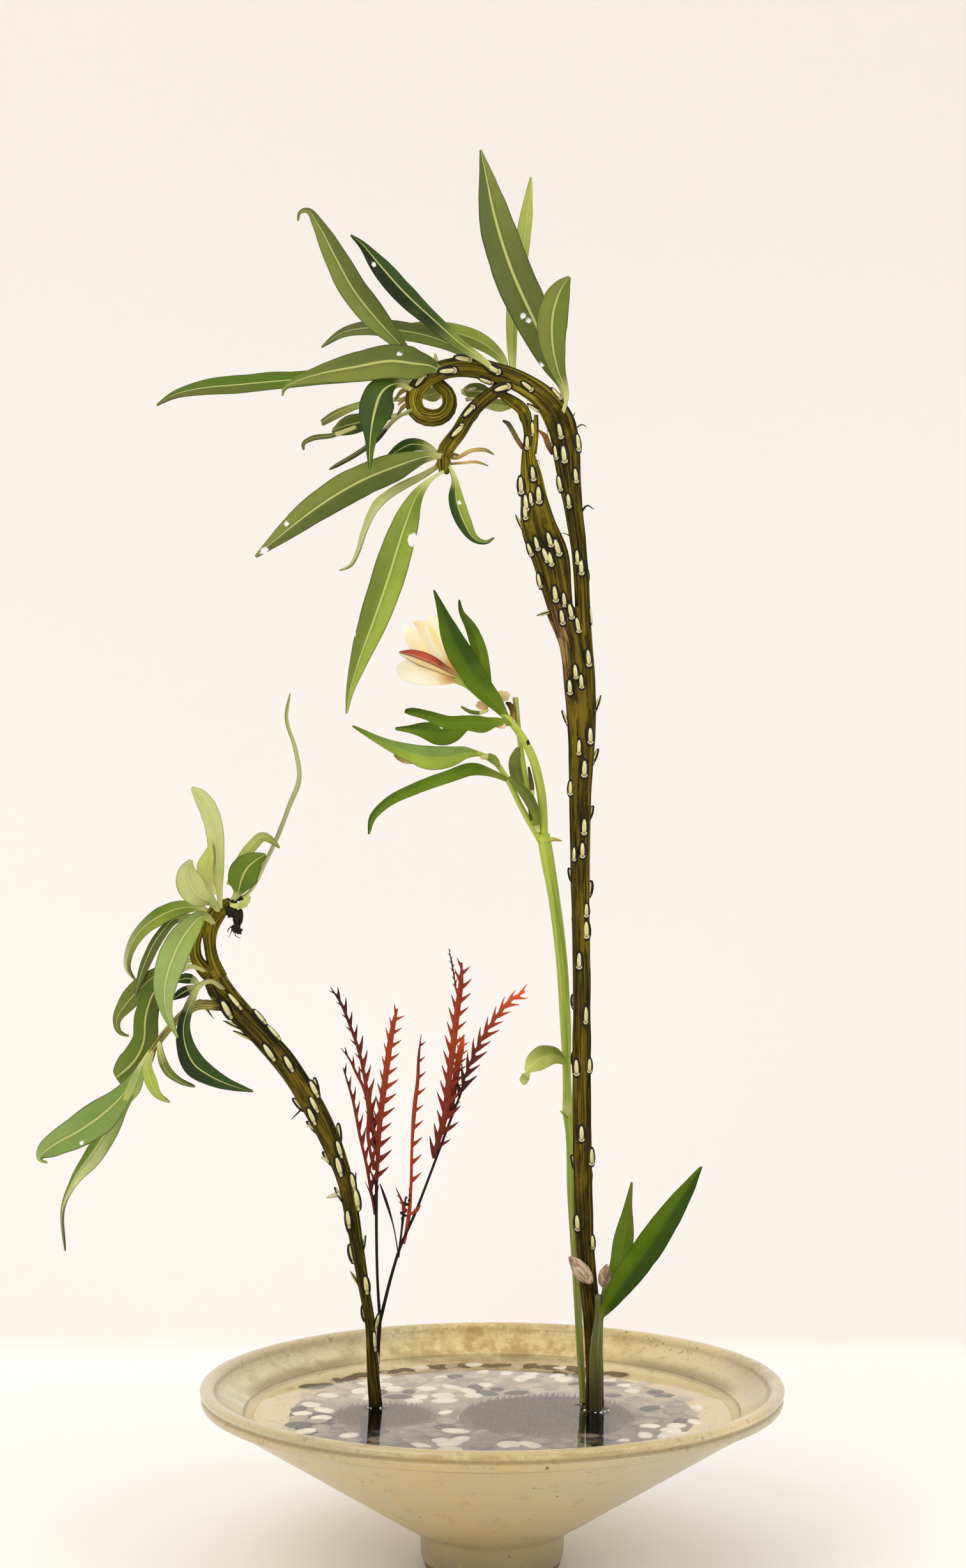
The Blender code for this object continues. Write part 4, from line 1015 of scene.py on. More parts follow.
# %% Greens for the leaves: their own colours, with painted light and shade among them
GREENS = {
    "straw": (206, 198, 158), "glow": (200, 204, 138), "pale": (182, 188, 98), "lime": (162, 176, 68),
    "fresh": (146, 162, 58), "grey": (122, 130, 54), "leaf": (108, 122, 42), "fern": (96, 120, 22),
    "deep": (82, 106, 8), "slate": (94, 102, 42), "shade": (80, 92, 28), "dark": (48, 70, 8),
    "night": (28, 40, 8), "umber": (104, 92, 44), "sage": (148, 166, 90), "moss": (122, 146, 70),
    "cream": (250, 236, 196), "young": (188, 195, 122), "dun": (160, 151, 112),
}
PALE_STALK = tone(216, 212, 136)
MOTTLE = 0.12


def between(names, share):
    """The colour a share of the way along a run of named colours."""
    place = share * (len(names) - 1)
    i = min(int(place), len(names) - 2)
    first, second = (Vector(tone(*GREENS[name])[:3]) for name in names[i:i + 2])
    return first.lerp(second, place - i)


def paint(piece, shares, sides, stalks, stops, stalk_tone):
    """Colour each point of a leaf: the left and the right half each run through their stops."""
    tint = piece.data.color_attributes.new("tint", "FLOAT_COLOR", "POINT")
    for v, share, side, stalk in zip(piece.data.vertices, shares, sides, stalks):
        stalk *= share < 0.35
        share = min(max(share + MOTTLE * noise.noise(v.co * 90), 0), 1)
        colour = Vector((0, 0, 0))
        left = min(max(0.5 + 6 * side, 0), 1)
        # Each half has its own stops: partly the leaf's own colour, partly painted light and shade where a
        # folded half faces the light or turns from it.
        for names, weight in ((stops[0], left), (stops[1], 1 - left)):
            colour += weight * between(names.split(), share)
        colour = colour.lerp(Vector(stalk_tone[:3]), 0.85 * stalk)
        tint.data[v.index].color = (*colour, 1)


# %% Where the viewer sees it, and bites
def seen(x, z, near):
    """A place that lines up with (x, z) for the viewer, however near it stands."""
    shrink = 1 - near / EYE_AWAY
    return EYE_X + (x - EYE_X) * shrink, EYE_HEIGHT + (z - EYE_HEIGHT) * shrink


def bite(piece, x, z, size, near):
    """Bite a ragged hole through a leaf, where the viewer sees (x, z)."""
    x, z = seen(x, z, near)
    cutter = ring("bite", size * MM, 9, (0, 0.03, 0), (pi / 2, 0, 0))
    done()
    for v in cutter.data.vertices:
        v.co.x *= 1 + 0.35 * noise.noise(Vector((x, z, v.index * 0.9)))
        v.co.z *= 1 + 0.35 * noise.noise(Vector((z, x, v.index * 0.7)))
    edit_all()
    extrude(0, -0.06, 0)
    face_outwards()
    cutter.location = (x * MM, -near * MM, z * MM)
    shaped_by(piece, "BOOLEAN", operation="DIFFERENCE", solver="EXACT", object=cutter)
    bpy.data.objects.remove(cutter)


# %% Grow one leaf
NARROW_BLADE, BLADE_RISE = 2.2, 4


def leaf_route(numbers, midrib):
    """Rows along a midrib that reaches towards the viewer: place, width and turn."""
    base_turn, tip_turn, reach, _ = numbers
    knots = []
    for i, (x, z, near, width) in enumerate(midrib):
        share = i / (len(midrib) - 1)
        near += reach * share ** 1.5
        knots.append((*seen(x, z, near), near, width, base_turn + (tip_turn - base_turn) * share))
    return smooth(knots, 2.5)


def grow(name, numbers, stops, bites, midrib, thin=0.34, ridge=0.95, stalk=1.5, wave=0.07,
         stalk_tone=PALE_STALK):
    """A leaf: a copy of the blank shaped flat, painted, bent to its route, thickened and bitten."""
    fold = numbers[3]
    rows = leaf_route(numbers, midrib)
    run = lengths(rows)
    leaf = copy_of(blank)
    leaf.name = leaf.data.name = name
    seed = sum(ord(letter) * (i + 1) for i, letter in enumerate(name)) * 0.37
    shares = [v.co.x for v in leaf.data.vertices]
    sides = [v.co.y for v in leaf.data.vertices]
    wrap = leaf.data.uv_layers[0]
    wrap.name = "grain"
    for loop in leaf.data.loops:
        v = leaf.data.vertices[loop.vertex_index]
        wrap.data[loop.index].uv = (v.co.x * run[-1] / 100, v.co.y + 0.5)
    weight = leaf.vertex_groups.new(name="thick")
    stalks = []
    for v, share, side in zip(leaf.data.vertices, shares, sides):
        width = max(np.interp(share * run[-1], run, rows[:, 3]), 0.5)
        edge = abs(side) * 2
        blade = min(max((width - NARROW_BLADE) / BLADE_RISE, 0), 1)
        stalks.append(1 - blade)
        frill = noise.noise(Vector((share * run[-1] / 14, np.sign(side) * 3, seed)))
        ripple = noise.noise(Vector((share * run[-1] / 5, np.sign(side) * 3, seed + 9)))
        v.co.y *= 1 + blade * (0.05 * frill + 0.035 * ripple) * edge
        v.co.z = blade * (-fold * abs(side) + wave * (frill + 0.3 * ripple) * edge ** 2)
        v.co.x = share * run[-1] * MM
        blade_thick = thin + (ridge - thin) * max(0, 1 - edge / 0.16)
        thick = stalk + (blade_thick - stalk) * blade
        thick *= min(1, 0.35 + (1 - share) * 9)
        weight.add([v.index], thick / 2, "REPLACE")
    bend(leaf, rows, turns=rows[:, 4], widths=rows[:, 3])
    paint(leaf, shares, sides, stalks, stops, stalk_tone)
    shaped_by(leaf, "SOLIDIFY", thickness=2 * MM, offset=0, vertex_group="thick")
    shaped_by(leaf, "SUBSURF", levels=1, render_levels=1)
    for x, z, size in bites:
        near = min(rows, key=lambda row: (row[0] - x) ** 2 + (row[1] - z) ** 2)[2]
        bite(leaf, x, z, size, near)
    take(leaf)
    bpy.ops.object.shade_smooth()
    return leaf


def grow_all(plant, table, material, slot, **options):
    """Grow every leaf of a plant, numbered in the order of its table."""
    for i, plan in enumerate(table, 1):
        name = f"{plant}_leaf_{i:02d}"
        fit(grow(name, *plan, **options), material, name)
    print(plant, "leaves", len(table))


# %% [markdown]
# Each leaf has its turn at the base and at the tip, how far its tip reaches towards the viewer
# and its fold; the colours of its left and right halves from base to tip; its bites as (x, height,
# size); and its midrib as (x, height, near, width), starting inside the stem that carries it.

# %% The willow leaves, one by one
TALL_LEAVES = [
    ((10, -10, -12, 0.2), ("shade slate shade", "slate slate grey"),
     [(16, 643.2, 1.1), (19, 640.6, 1.0), (14.2, 626, 1.6), (25.5, 618, 0.8)],
     [(35, 592, 0, 2), (37, 603, -1, 3), (31, 620, 1, 13), (22, 640, 3, 19), (10, 667, 5, 20.5),
      (0, 700, 4, 15), (-3, 715, 3, 8), (-6, 729, 2, 1)]),
    ((-15, 10, 22, 0.16), ("leaf grey grey", "shade leaf leaf"), [],
     [(36.5, 593, 4.5, 2), (38.5, 602, 6.5, 2.2), (34, 615, 10, 8), (31, 630, 12, 14), (31.5, 645, 13, 15.5),
      (36, 658, 13, 9), (40, 663.5, 13, 1.5)]),
    ((25, 35, -30, 0.12), ("lime pale lime", "lime lime pale"), [],
     [(11, 609, 0, 2), (10.5, 618, -4, 4), (10.5, 640, -7, 7.5), (14, 668, -9, 9.5), (18, 695, -9, 8),
      (20, 715, -8, 1)]),
    ((15, -15, 14, -0.14), ("moss grey grey", "leaf slate slate"), [],
     [(-32, 612, 1.5, 2), (-40, 620, 2, 3), (-48, 629, 3, 7), (-60, 642, 4, 13), (-71, 656, 5, 14),
      (-81, 674, 4, 12), (-90, 691, 3, 6), (-95, 698, 2, 3), (-99, 697, 2, 2), (-100, 692, 2, 1)]),
    ((30, 10, 25, 0.25), ("fresh night night", "lime dark dark"), [(-61, 670, 0.9)],
     [(3, 613, 3, 2), (-3, 619, 6, 3.6), (-16, 628.5, 8, 7), (-30, 641, 9, 9.5), (-45, 655, 8, 12),
      (-58, 669.5, 7, 10), (-67, 680, 6, 4), (-73, 685, 6, 1)]),
    ((-20, 20, -22, -0.15), ("leaf leaf slate", "shade slate slate"), [],
     [(-6, 615, 0, 2), (-14, 624, -5, 5), (-30, 632, -7, 9), (-46, 635.5, -8, 10), (-64, 637, -8, 8),
      (-78, 634, -7, 5), (-88, 627, -6, 1)]),
    ((-30, -10, -15, 0.1), ("fresh grey grey", "grey fresh grey"), [],
     [(8, 611, -0.5, 2), (5, 621, -8, 5), (-6, 630, -13, 9), (-20, 635, -15, 9), (-36, 638, -15, 5),
      (-48, 638, -15, 1)]),
    ((-10, 15, 25, 0.15), ("leaf grey grey", "shade slate leaf"), [(-47.8, 623.8, 1.2)],
     [(-26, 614.5, 4, 2.2), (-31.5, 617.5, 7, 9), (-40, 618.6, 10, 16.5), (-51, 620, 11, 17.5),
      (-70, 617, 11, 15.5), (-90, 613, 10, 9), (-102, 609, 9, 4), (-107, 606, 8, 2), (-108, 602, 8, 1)]),
    ((35, 10, -20, -0.16), ("deep deep umber", "dark deep deep"), [],
     [(-38, 607, -1, 2.4), (-50, 611, -4, 5), (-80, 611.5, -4, 9), (-110, 609.5, -2, 10.5),
      (-132, 607.5, 0, 11), (-152, 605.5, 1, 8), (-165, 602, 1, 4), (-173, 597, 1, 1)]),
    ((-25, 25, 12, 0.25), ("dark dark deep", "deep dark dark"), [],
     [(-41, 605, 3, 2), (-49, 608.5, 9, 5), (-56.5, 604.5, 13, 15.5), (-60.5, 594, 14, 17),
      (-62.5, 582, 13, 8), (-63, 564, 12, 1)]),
    ((40, 30, -8, 0.2), ("fresh lime umber", "deep fresh umber"), [],
     [(-40.5, 600, -1, 1.8), (-54, 600, -8, 2.5), (-70, 597, -9, 4.5), (-81, 592.5, -9, 6),
      (-88, 588, -9, 4)]),
    ((-20, 20, -14, 0.2), ("dark dark shade", "dark slate leaf"), [],
     [(-37.5, 594, -1, 1.8), (-52, 591.5, -13, 3), (-63, 589.5, -15, 8), (-74, 587, -15, 10.5),
      (-80, 585, -14, 7), (-82.5, 584, -14, 1.5)]),
    ((60, 50, 0, 0.2), ("night night umber", "night night night"), [],
     [(-39.5, 596, 2.5, 1.6), (-50, 590, 5, 2), (-60, 579.5, 6, 5), (-71, 571.5, 6, 4), (-84, 564, 6, 1)]),
    ((-15, 10, 28, -0.14), ("shade shade slate", "leaf grey grey"), [(-106, 536, 1.0), (-117.5, 522.3, 1.7)],
     [(-23.5, 571, 4.5, 2), (-32, 571, 7, 5), (-50, 565.5, 9, 14), (-66, 559, 10, 16.5), (-82, 550, 10, 16),
      (-97, 539.5, 9, 13), (-110, 529, 8, 8), (-122, 519, 7, 1.5)]),
    ((30, 60, -14, 0.2), ("leaf glow glow", "shade pale glow"), [],
     [(-24.5, 568, 2.5, 1.6), (-35, 561.5, -2, 4), (-50, 554, -4, 7), (-60, 546, -4, 7.5), (-66, 533, -3, 5),
      (-69.5, 521, -2, 3), (-73, 514.5, -2, 2), (-79, 512, -2, 1)]),
    ((-12, 12, 10, -0.12), ("deep fresh fresh", "fresh leaf leaf"), [(-71, 479.4, 0.8), (-40.6, 527.6, 2.9)],
     [(-24.5, 563.5, 5, 1.6), (-31, 559.5, 11, 2.2), (-38, 552, 14, 6), (-44, 538, 15, 13),
      (-48, 526, 16, 16), (-53.5, 508, 16, 17), (-60, 489, 16, 15.5), (-69, 464, 15, 9), (-74, 446, 14, 3),
      (-75, 438, 14, 1)]),
    ((-30, 30, -12, 0.2), ("fresh fresh leaf", "dark dark dark"), [(-17, 547, 0.9)],
     [(-23.5, 568, 3.5, 1.6), (-19.5, 560, 4, 3), (-18.5, 549, 5, 8), (-14.5, 537, 6, 8), (-8.5, 528, 6, 4),
      (-3, 526.5, 6, 2), (1, 529, 6, 1)]),
]
LOW_LEAVES = [
    ((20, -30, -12, 0.16), ("leaf young young", "lime young young"), [],
     [(-140, 337, 1.5, 2), (-140.5, 347, 4, 3.5), (-142, 364, 6, 8), (-143.5, 380, 6, 9.5),
      (-147, 390, 6, 10), (-152, 397, 5, 7), (-155, 400, 5, 2)]),
    ((-20, 35, 8, 0.2), ("leaf young young", "moss young young"), [],
     [(-141, 336.5, 2, 2), (-145, 341.5, 8, 6), (-151.5, 344.5, 10, 13), (-156, 351.5, 11, 14),
      (-157, 358.5, 11, 8), (-155, 363, 11, 2)]),
    ((25, -10, 10, -0.2), ("fern fern leaf", "dark fern deep"), [],
     [(-135, 340.5, 1, 2), (-131, 346, 2, 5), (-129.5, 352, 2, 14), (-126, 359, 2, 15), (-120.5, 363.5, 1, 8),
      (-116.5, 365.5, 1, 1.5)]),
    ((72, 78, -10, 0.1), ("lime dun young pale", "lime dun dun pale"), [],
     [(-134, 341.5, -0.8, 1.8), (-127, 344.5, -6, 2.4), (-116, 363, -7, 5), (-105, 388, -7, 7),
      (-99, 406, -7, 8), (-101, 420, -7, 6), (-106, 436, -7, 4), (-104, 449, -7, 1)]),
    ((-25, 40, -20, 0.2), ("fern fresh umber", "fresh fern straw"), [],
     [(-142, 332, -1, 2), (-150, 338, -5, 4), (-161, 338, -6, 8), (-171, 334, -6, 9), (-180, 327.5, -6, 7.5),
      (-187, 316, -6, 5.5), (-188, 307, -6, 4), (-184, 301, -6, 1)]),
    ((-15, 15, 12, -0.12), ("fresh sage sage", "leaf sage moss"), [],
     [(-143, 330, 1.5, 2), (-149, 334, 9, 6), (-158, 325, 13, 13), (-165, 311, 15, 15),
      (-168.5, 298, 15, 12.5), (-168, 286, 14, 7), (-162, 271, 12, 1)]),
    ((35, 20, -10, 0.2), ("shade slate slate", "shade shade slate"), [],
     [(-143, 325, -1, 2), (-152, 333, -10, 3), (-163, 332.5, -12, 5), (-172, 323, -12, 6.5),
      (-179, 309, -12, 6), (-184, 292, -12, 1)]),
    ((-35, 10, -22, 0.15), ("leaf grey grey", "shade leaf grey"), [],
     [(-144, 309, -1.5, 2), (-156, 311, -12, 2.4), (-170, 306, -17, 6), (-181, 297, -18, 11),
      (-189, 288, -17, 9), (-193.5, 280, -16, 4.5), (-192, 274, -15, 2.5), (-187, 272, -14, 1)]),
    ((-10, 20, -6, 0.25), ("night shade leaf", "night deep leaf"), [],
     [(-145, 304, 1.5, 2), (-154, 308, 2, 2.4), (-164, 304.5, -2, 5), (-174, 295, -5, 9.5),
      (-178.5, 282, -5, 13), (-179.5, 269, -5, 14), (-184, 259.5, -5, 17), (-189.5, 254, -5, 17),
      (-194, 250.5, -5, 8)]),
    ((-15, 15, 22, -0.14), ("moss moss moss", "moss moss sage"), [(-211.5, 217, 0.9)],
     [(-176.2, 262.5, 4.2, 2), (-183, 252, 6.5, 5.5), (-191, 241, 6, 11), (-203, 230, 7, 18),
      (-215, 222, 7, 16.5), (-225, 216.5, 6, 12.5), (-231.5, 211.5, 6, 8), (-233.5, 208.8, 5, 3),
      (-229, 206.8, 5, 1)]),
    ((25, 50, -12, 0.2), ("leaf sage glow umber", "deep fern fern umber"), [],
     [(-177.3, 260.5, 3.2, 1.6), (-182, 249, -1, 4), (-190, 238, 0, 8), (-199, 222, 0, 13),
      (-207, 210, 0, 13), (-215, 199, 0, 8), (-221, 184, 0, 2.5), (-220, 161, 0, 1)]),
    ((20, 40, 6, 0.2), ("leaf leaf slate", "shade leaf slate"), [],
     [(-171.5, 269.5, 5.5, 1.8), (-170.5, 261, 8, 5), (-167.5, 254, 8, 6), (-161, 249, 7, 4),
      (-153, 246, 7, 1)]),
    ((-30, 20, 10, 0.2), ("lime lime fresh", "fresh lime fresh"), [],
     [(-175, 264.5, 5, 1.8), (-177.5, 256, 10.5, 5), (-176, 249, 12, 6.5), (-172, 241.5, 12, 4),
      (-166, 238, 11, 1)]),
    ((-40, 20, 14, -0.15), ("slate dark dark", "night night dark"), [],
     [(-138, 296, 2, 2), (-146, 300.5, 10, 2.4), (-151.5, 297.5, 13, 3), (-155.5, 289, 14, 5),
      (-159, 278, 13.5, 6.5), (-158, 267, 13, 9.5), (-153.5, 257.5, 12, 12), (-145, 251.5, 11, 10),
      (-135, 247, 11, 6), (-123, 243.5, 11, 1)]),
]

# %% [markdown]
# The leaf's wrap runs along it in tenths of a metre and across it from 0 to 1, so the midrib is
# always at 0.5. It gets a pale line with a band of painted shade either side, the edge a dark
# one, and the green itself comes from the painted points, broken up by a mottle.

# %% Willow leaf
def painted_points(finish):
    """The colours that are painted on a piece's points."""
    return finish.node("ShaderNodeAttribute", {"attribute_name": "tint"}, out="Color")


def leaf_parts(finish):
    """The painted colour of a leaf, and how far a point lies along it and out from its midrib."""
    along, side, _ = finish.split(finish.node("ShaderNodeUVMap", {"uv_map": "grain"}))
    return painted_points(finish), along, abs(side - 0.5) * 2


willow = Finish("willow_leaf", Specular_IOR_Level=0.24)
tint, _, out = leaf_parts(willow)
mottle = willow.noise(willow.coordinates(), 160, 4, 0.6)
fine = willow.noise(willow.coordinates(), 1100, 2)
skin = tint.scaled(0.78 + 0.34 * mottle + 0.12 * fine)
skin = (out.step(0.86, 0.99) * 0.75).mix(skin, tint.scaled(0.28))
# Painted shade: the blade is darker in a band along each side of the midrib.
skin = (out.step(0.24, 0.1) * 0.35).mix(skin, tint.scaled(0.62))
rib = out.step(0.08, 0.055)
skin = (rib * 0.75).mix(skin, tone(200, 204, 118))
WILLOW_LEAF = willow.wear(Base_Color=skin, Roughness=0.42 + 0.2 * mottle - 0.06 * rib,
                          Normal=willow.bump(mottle * 0.4 + fine * 0.1, 0.0004, 0.6))
grow_all("willow_tall", TALL_LEAVES, WILLOW_LEAF, "willow_leaf")
grow_all("willow_low", LOW_LEAVES, WILLOW_LEAF, "willow_leaf")

# %% [markdown]
# ## Alstroemerias
# Their stems are round and juicy, yellow-green with fine pale ribs, and thicken at the nodes.
# A stem is drawn out like the willow's, but its ring stays round. The leaves twist on their
# stalks, so that the underside shows, and are darker round their edge.

# %% Round stems
# (x, height, near, radius)
TALL_LILY = [
    [(46.5, STEM_FOOT, -6, 1.7), (47, 80, -6, 1.7), (45.5, 110, -7, 1.9), (43.5, 150, -8.5, 2.1),
     (41.2, 190, -9.5, 2.3), (39.8, 226, -10, 2.4), (39.5, 232, -10, 3.1), (39.2, 238, -10, 2.6),
     (38, 280, -9.5, 2.9), (35.2, 320, -8, 3), (31, 350, -7, 3.1), (27.8, 368, -6, 3.5),
     (26.6, 376, -6, 3.2)],
    [(26.8, 372, -6, 2.4), (25, 400, -6, 2.3), (20, 418, -5, 2.2), (13, 430, -4, 2), (6, 438, -3, 1.9),
     (-5, 446, -4, 1.4), (-14, 453.5, -4, 1.5), (-18.5, 456.5, -4, 2.6), (-21, 458, -4, 2.2)],
    [(25.5, 372, -5, 1.8), (15, 390, -4, 1.5), (8, 404, -3, 1.4), (0, 414.5, -3, 1.4), (-8, 418, -3, 1.3)],
    [(25.5, 373, -9, 1.7), (18.5, 400, -9, 1.4), (15, 420, -9, 1.3), (12, 447, -8, 1.5)],
]
SHORT_LILY = [
    [(53, STEM_FOOT, 11, 3.2), (53, 80, 11, 3.2), (53.5, 118, 11, 3.1), (54.5, 130, 11, 2.2),
     (54, 141, 12, 1.6)],
    [(54.8, 127, 11, 1.9), (57, 139, 10.6, 1.6), (58.2, 147, 9.8, 1.4)],
]

lily_green = Finish("lily_stem", Roughness=0.38, Specular_IOR_Level=0.45)
x, y, z = lily_green.split(lily_green.coordinates())
fine = streak(lily_green, 34, 2.2, 3)
broad = streak(lily_green, 9, 1.2)
skin = (fine * 0.6 + broad * 0.4).step(0.38, 0.6).mix(tone(118, 140, 30), tone(176, 192, 66))
lower = z.step(0.25, 0.12)
skin = (lower * 0.75).mix(skin, (fine.step(0.4, 0.6)).mix(tone(96, 104, 34), tone(150, 152, 74)))
skin = (z.step(0.33, 0.37) * 0.5).mix(skin, tone(196, 208, 74))
node_mark = z.step(0.229, 0.2325) * z.step(0.2385, 0.234)
skin = (node_mark * 0.7).mix(skin, tone(192, 188, 112))
short_one = y.step(-0.0075, -0.009) * z.step(0.15, 0.14)
skin = (short_one * 0.8).mix(skin, (fine.step(0.35, 0.6)).mix(tone(44, 50, 10), tone(88, 92, 32)))
stub = x.step(0.0175, 0.0165) * x.step(0.0085, 0.0095) * z.step(0.424, 0.43) * y.step(0.0055, 0.007)
skin = (stub * 0.75).mix(skin, (fine.step(0.4, 0.6)).mix(tone(120, 96, 40), tone(182, 170, 84)))
# Painted shade: the short stem goes near black just above the water, and both stems are painted near black
# under it.
skin = (short_one * z.step(0.115, 0.086) * 0.8).mix(skin, tone(26, 26, 8))
skin = z.step(0.083, 0.0805).mix(skin, tone(3, 2, 1))
LILY_GREEN = lily_green.wear(Base_Color=skin, Normal=lily_green.bump(fine, 0.0005, 0.6))
for name, limbs in (("alstroemeria_tall_stem", TALL_LILY), ("alstroemeria_short_stem", SHORT_LILY)):
    round_limbs = [[(*knot, knot[3]) for knot in limb] for limb in limbs]
    stem = grown_together(name, round_limbs, sides=20, rib=0.1, ribs=4)
    fit(stem, LILY_GREEN, name)
    print(name, len(stem.data.polygons))

# %% The alstroemeria leaves
LILY_LEAVES = [
    ((-25, 10, 12, 0.3), ("fern deep dark", "fern dark dark"), [],
     [(7.5, 436, -3, 3), (2, 443, 1, 8), (-7, 453.5, 4, 12), (-15, 466, 6, 13.5), (-21, 478, 6, 11),
      (-25, 489, 5, 6), (-30, 502, 4, 1)]),
    ((-35, 30, -12, 0.3), ("fern deep dark", "deep fern dark"), [],
     [(5, 439, -4, 2.4), (-2, 450, -8, 5), (-5, 461, -9, 8), (-7, 472, -9, 8), (-11, 483, -8, 6),
      (-16, 491, -8, 2.5), (-17, 497, -8, 1)]),
    ((20, -20, 15, 0.3), ("deep fern deep", "fern deep dark"), [],
     [(10, 433.5, -2.5, 2.4), (2, 434.2, 2, 5), (-4, 433, 4, 9), (-12, 433.6, 5, 8), (-22, 433.6, 6, 7),
      (-34, 437.5, 5, 5), (-42, 439.4, 4, 4), (-45, 439.6, 4, 2)]),
    ((-25, 25, -8, -0.25), ("fern fern fern", "deep fern dark"), [(-26, 432, 1.1)],
     [(11.5, 433, -5, 2.4), (-3, 432.8, -9, 2.4), (-13, 431.5, -8, 4), (-20, 429, -7, 11), (-27, 428, -7, 13),
      (-35, 429.5, -6, 8.5), (-43, 430.3, -6, 4), (-50, 430.5, -6, 1.5)]),
    ((15, -20, -10, -0.2), ("fresh fresh deep", "moss moss fern"), [],
     [(-6, 417.5, -3, 2), (-13, 418, -1, 6), (-22, 416, 1, 11), (-32, 415.5, 2, 12.5), (-43, 418.5, 2, 9),
      (-56, 423.5, 1, 5), (-72, 432, 0, 1)]),
    ((-25, 25, 15, 0.25), ("deep fern deep", "dark deep dark"), [],
     [(8, 404, -2.5, 2), (0, 407.5, 2, 4), (-10, 409.5, 4, 7), (-22, 406, 5, 6.5), (-40, 399.5, 5, 6),
      (-54, 392.5, 4, 5), (-62, 384, 3, 3.5), (-63.5, 376, 3, 1)]),
    ((20, 30, 0, 0.2), ("leaf slate leaf", "slate shade slate"), [],
     [(22.5, 379, -4.5, 2), (22.5, 386, 2, 4.5), (18.5, 395.5, 2, 6.5), (13, 401.5, 1, 4.5),
      (8.5, 405.5, 3, 1.5)]),
    ((30, -20, 8, 0.3), ("fresh pale pale", "leaf grey pale"), [],
     [(38.5, 258, -9, 2.2), (33, 262, -4, 9), (26, 261, 0, 12), (20.5, 257, 3, 8), (17.5, 253.5, 2, 2.5)]),
]
SHORT_LILY_LEAVES = [
    ((-20, 15, 22, -0.25), ("deep deep deep", "dark dark dark"), [],
     [(54.5, 126, 11.5, 2.4), (59, 132, 13, 6), (66, 143, 14, 12), (78, 160, 14, 14.5), (90, 178, 13, 13),
      (100, 193, 12, 8), (108, 205, 12, 1)]),
    ((25, -20, -14, 0.25), ("deep fern deep", "dark deep umber"), [],
     [(54.8, 129, 9.8, 2.2), (59, 139, 6, 5), (65, 152, 5, 9.5), (68, 168, 5, 10.5), (70, 184, 5, 4.5),
      (72, 197, 5, 1)]),
]

# %% Lily leaf
lily = Finish("lily_leaf", Specular_IOR_Level=0.14)
tint, _, out = leaf_parts(lily)
mottle = lily.noise(lily.coordinates(), 120, 3)
skin = tint.scaled(0.868 + 0.487 * mottle)
skin = (out.step(0.86, 1.0) * 0.6).mix(skin, tint.scaled(0.35))
skin = (out.step(0.1, 0.03) * 0.3).mix(skin, tint.scaled(1.7))
LILY_LEAF = lily.wear(Base_Color=skin, Roughness=0.42 + 0.2 * mottle,
                      Normal=lily.bump(mottle * 0.5, 0.0004, 0.6))
LILY_CUT = {"thin": 0.4, "ridge": 0.6, "wave": 0.09, "stalk_tone": tone(132, 142, 50)}
grow_all("alstroemeria_tall", LILY_LEAVES, LILY_LEAF, "lily_leaf", **LILY_CUT)
grow_all("alstroemeria_short", SHORT_LILY_LEAVES, LILY_LEAF, "lily_leaf", **LILY_CUT)

# %% [markdown]
# ## The flower
# Six tepals make the trumpet: cream, thin and a little see-through, and amber at their base. One
# of the inner ones is rust red along one side. They are grown from the same blank as the leaves,
# cupped instead of folded.

# %% Tepals
GREENS |= {
    "ivory": (252, 244, 212), "butter": (246, 224, 156), "amber": (234, 176, 104),
    "rust": (186, 66, 28), "brick": (150, 44, 20), "blush": (238, 190, 166), "ochre": (206, 170, 96),
}
TEPALS = [
    ((20, 0, 0, -0.35), ("ochre cream ivory ivory", "amber butter cream ivory"), [],
     [(-18, 455.8, -3, 2.4), (-23, 456.4, -0.5, 7), (-30, 457.8, 2, 11), (-38, 459.4, 4, 13),
      (-45, 461, 4, 10.5), (-49, 462.8, 3, 2.5)]),
    ((-10, -15, 0, 0.5), ("amber butter butter cream", "rust brick rust brick"), [],
     [(-18, 457.5, -2, 2), (-24, 460.5, 3, 5), (-31, 464, 7, 7.5), (-38, 466.8, 9, 7.5), (-44, 468.8, 9, 5),
      (-48, 469.8, 8, 1)]),
    ((20, 35, 0, -0.3), ("amber cream cream ivory", "amber butter ivory ivory"), [],
     [(-19, 458, -4, 2), (-24, 465, -4, 9), (-27.5, 473, -5, 15), (-30, 481, -5, 15), (-32, 487, -5, 7),
      (-33, 488.5, -5, 2)]),
    ((-25, -40, 0, 0.4), ("amber butter cream blush", "butter cream butter cream"), [],
     [(-18, 458, -5, 2), (-25, 465, -5, 6), (-31, 473, -4, 9), (-35, 480, -3, 9.5), (-38, 484.5, -3, 5),
      (-40.5, 486, -3, 1)]),
    ((25, 10, 0, -0.3), ("amber butter cream ivory", "amber butter ivory ivory"), [],
     [(-18, 456.5, -6, 2), (-26, 463, -9, 9), (-33, 470, -11, 14), (-38.5, 475.5, -11, 13),
      (-43, 480, -11, 7), (-45.5, 482, -11, 1.5)]),
    ((-30, -40, 0, 0.35), ("amber amber amber rust", "amber butter amber brick"), [],
     [(-17, 458, -7, 2), (-18.5, 464, -10, 8), (-21, 472, -13, 12), (-24, 479, -14, 12),
      (-27.5, 485.5, -14, 6), (-29.5, 488.5, -14, 1.5)]),
]

